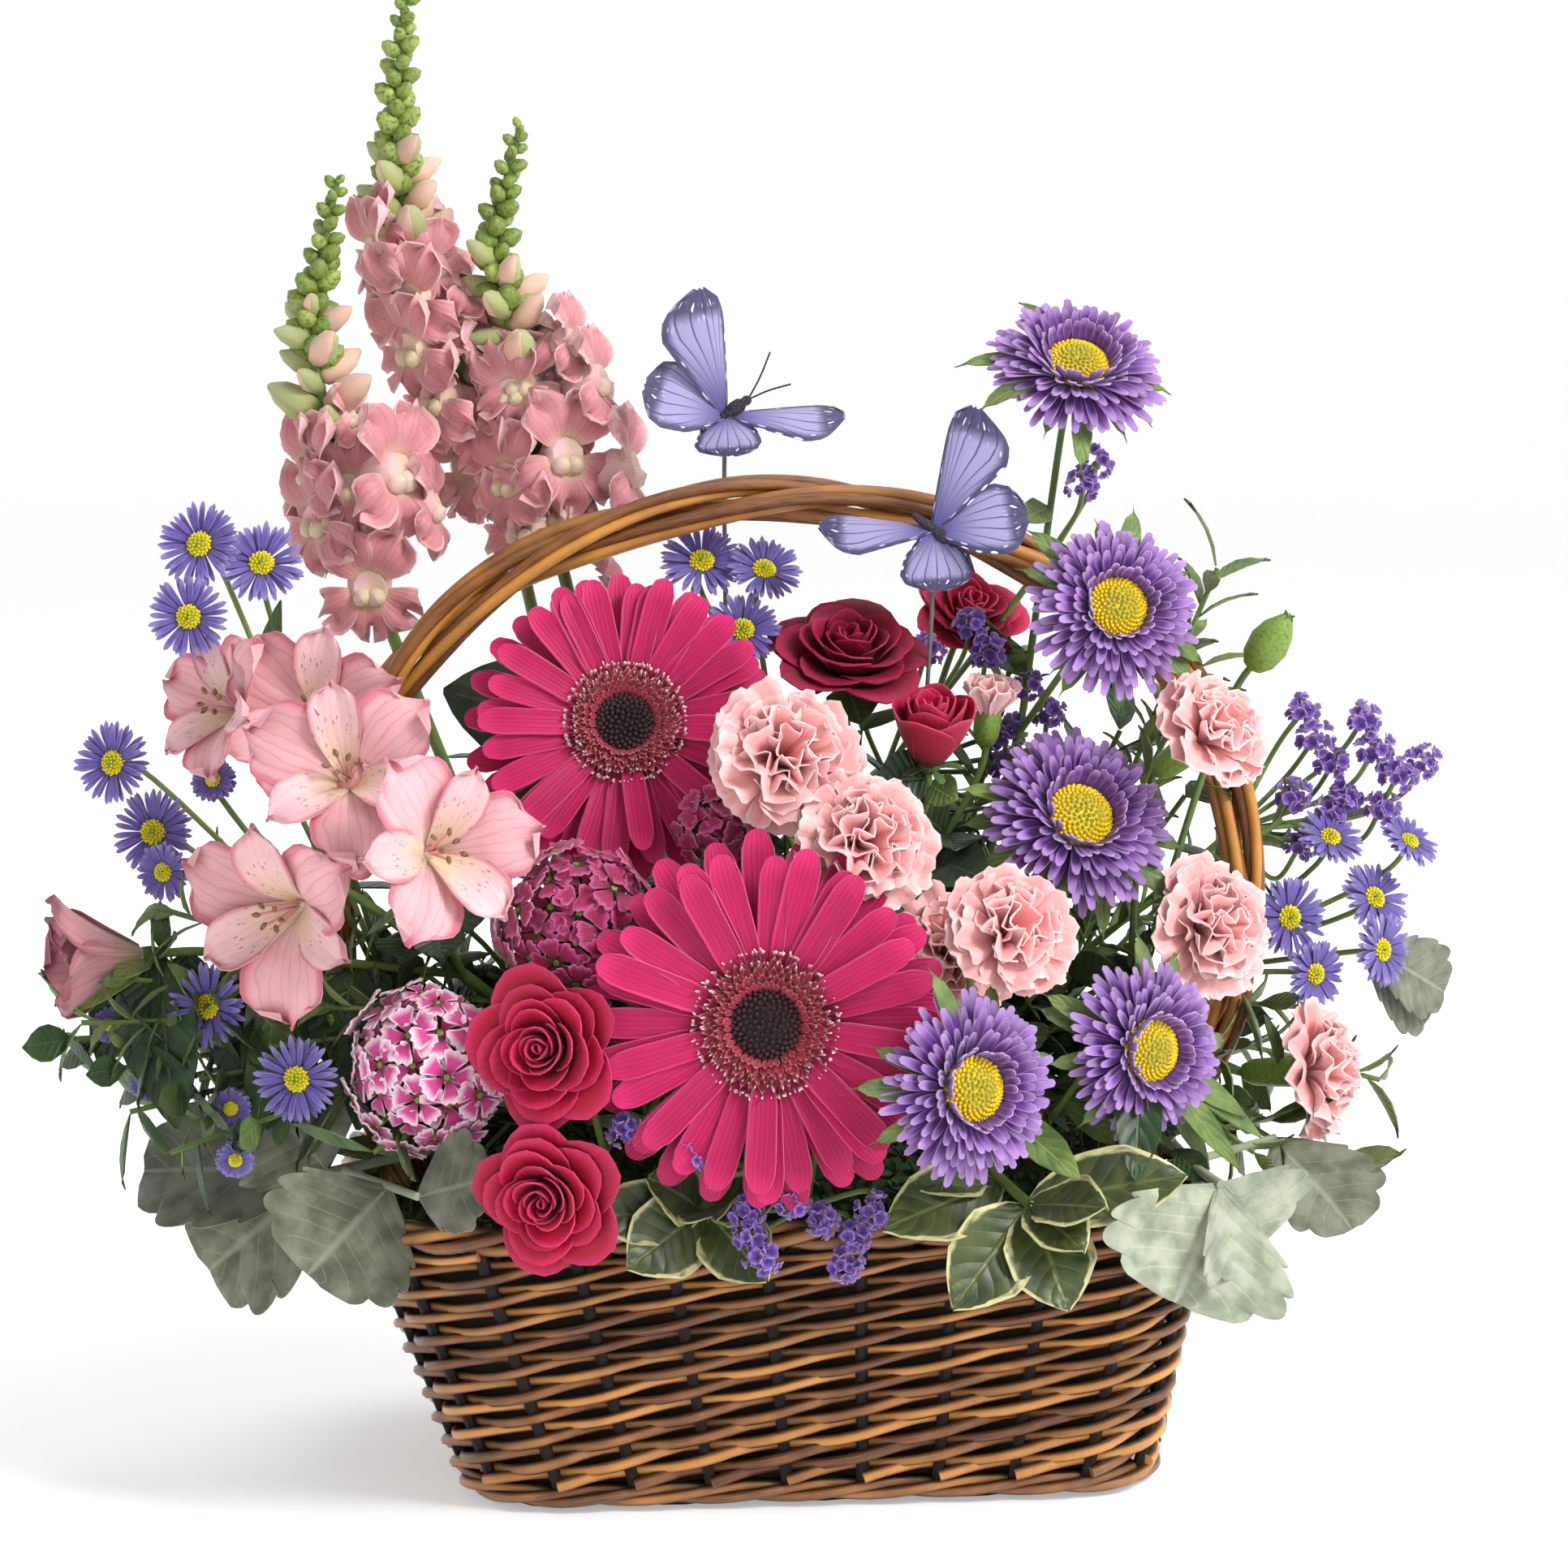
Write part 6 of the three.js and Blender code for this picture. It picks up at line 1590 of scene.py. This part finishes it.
def sprigPaths():
    f = fill
    paths = []
    for k in range(f["sprigs"]):
        out, a = sqrt((k + 0.5) / f["sprigs"]), k * goldenAngle
        way = vec(cos(a), sin(a))
        rise = f["edge"] + (f["crown"] - f["edge"]) * (1 - out ** 2) + dice.uniform(-12, 8)
        tip = vec(*(vec(*f["middle"]) + vec(*f["reach"]) * out * way), rise)
        tip[:2] += dice.uniform(-8, 8, 2)
        path = twigPath(vec(*f["middle"]) + vec(*f["foot"]) * out * way, tip, 10, 8)
        if clearOfHeads(path):
            paths.append(path)
    return paths


def fillIn():
    paths = sprigPaths() + [sprayPath(*spot) for spot in leafySprays]
    sides = [sprayPath(*spot) for spot in sideSprays]
    long, wide = fill["leaf"]
    broad = petal(long, wide, "leaf", bend=(10, -30), cup=-0.25, rows=6, cols=3, thick=0.5)
    slim = petal(long * 0.8, wide * 0.42, "leaf", bend=(10, -24), cup=0.2, rows=5, cols=3, thick=0.5)
    for name, lines, shape, paint, spacing, seed in (
            ("broadFilling", paths[::2], broad, "leafDark", 8.5, 5),
            ("middleFilling", paths[1::2], broad, "leafGreen", 9, 8),
            ("slimFilling", sides, slim, "asterLeaf", 4.2, 11)):
        twigs = rodsOf([(path, 0.9, 0.4) for path in lines], "stemGreen", sides=5, roughen=0)
        bare = [evenPath(path, 3)[4:] for path in lines]
        leaves = alongOf(bare, [(shape, paint)], spacing, 38, 18, 0.85, 1.0, 0.2, 0.6, seed)
        makePiece(name, joinParts([twigs, leaves]), "stem_green")


mossRings = [  # height, and share of the way from the willow in to the liner
    (8, 0), (30, 0), (55, 0), (80, 0), (87, 0.3), (89, 0.7), (84, 1), (55, 1), (30, 1), (8, 1),
]


def mossPart():  # packed between the liner and the willow, its body painted near black as the shade inside the basket, with green tufts on its top and on the foam
    count, shares = liner["points"], np.arange(liner["points"]) / liner["points"]
    rounds = []
    for z, share in mossRings:
        outer = wallPoint(shares, min(z, basket["height"]), -6.9)
        ring = outer * (1 - share) + linerRing(min(z, liner["high"]), 0.4) * share
        ring[:, 2] = z + (dice.uniform(-2, 2, count) if z > 80 else 0)
        rounds.append(ring)
    number = np.arange(len(rounds) * count).reshape(len(rounds), count)
    up, on = np.roll(number, -1, axis=0), np.roll(number, -1, axis=1)
    walls = np.stack([number, on, np.roll(up, -1, axis=1), up], axis=-1)
    body, top = [makePart(rounds, [part.reshape(-1, 4)], paint="mossDark") for part in (walls, walls[3:6])]
    blade = petal(5, 2.4, "leaf", bend=(70, 30), rows=3, cols=2, thick=0.4)
    tuft = joinParts([movePart(blade, Matrix.Rotation(2.1 * k, 3, "Z")) for k in range(3)])
    return joinParts([body] + [tuftsOf(ground, tuft, "mossGreen", 0.06, 40, 0.4, 4 + k)
                               for k, ground in enumerate((top, foamTop()))])


def foamTop():  # the foam's skin from below its shoulder up, without its bottom and its flat middle
    part, count = foamPart(), 4 * liner["points"]
    rounds = len(part["co"]) // liner["points"] - 1
    rows = part["loops"][:count * rounds].reshape(rounds, count)[len(foam["levels"]):]
    return {**part, "loops": rows.ravel(), "sizes": np.full(rows.size // 4, 4, np.int32),
            "paint": np.full(rows.size // 4, paintNumber("mossDark"), np.int32)}


fillIn()
makePiece("mossPacking", mossPart(), "foam")
print("filling leaves and moss laid")

# ---- table, light and camera

def stagePaint():
    newPaint("paleTable")
    finishPaint((0.9, 0.9, 0.9, 1), Roughness=0.9, Emission_Color=(1, 1, 1, 1), Emission_Strength=0.36)


stagePaint()
stage = {"flat": 3.6, "bend": 1.0, "wall": 3.0, "points": 72, "bends": 10}  # metres


def makeStage():  # a pale round table top that curves up at its far edge, so it is behind the basket from any side
    a = np.linspace(0, pi / 2, stage["bends"])
    profile = [(stage["flat"] + stage["bend"] * sin(k), stage["bend"] * (1 - cos(k))) for k in a]
    profile = [(0.001, 0.0), (stage["flat"] / 2, 0.0)] + profile + [(stage["flat"] + stage["bend"], stage["wall"])]
    around = np.linspace(0, 2 * pi, stage["points"], endpoint=False)
    faces = wallFaces(len(profile), stage["points"])[1][:, ::-1]
    mesh = bpy.data.meshes.new("table")
    mesh.from_pydata([(r * cos(k), r * sin(k), z) for r, z in profile for k in around], [], faces.tolist())
    mesh.materials.append(paints[paintNumber("paleTable")])
    mesh.polygons.foreach_set("use_smooth", np.ones(len(mesh.polygons), bool))
    showObject("table", mesh)


def aimAt(name, data, place, target):  # a lamp or the camera, looking at its target
    shown = showObject(name, data)
    shown.location = place
    shown.rotation_euler = (Vector(target) - Vector(place)).to_track_quat("-Z", "Y").to_euler()
    return shown


def makeLight(name, place, size, power):
    light = bpy.data.lights.new(name, "AREA")
    light.size, light.energy = size, power
    aimAt(name, light, place, (0, 0, 0.2))


makeStage()
makeLight("keyLight", (1.3, -1.1, 1.6), 0.8, 46)
makeLight("topLight", (0.3, 0.4, 2.2), 1.2, 16)

world = bpy.data.worlds.new("studio")
world.use_nodes = True
sky = world.node_tree.nodes["Background"]
sky.inputs["Color"].default_value, sky.inputs["Strength"].default_value = (1, 1, 1, 1), 0.2
bpy.context.scene.world = world
bpy.context.scene.view_settings.view_transform = "Standard"

lens = bpy.data.cameras.new("camera")
lens.sensor_width = 36
lens.lens = lens.sensor_width * view["distance"] / (view["pixels"] * view["scale"])
target = vec(*view["target"]) * mm
place = target + direction(view["azimuth"], view["elevation"]) * view["distance"] * mm
bpy.context.scene.camera = aimAt("camera", lens, place, target)
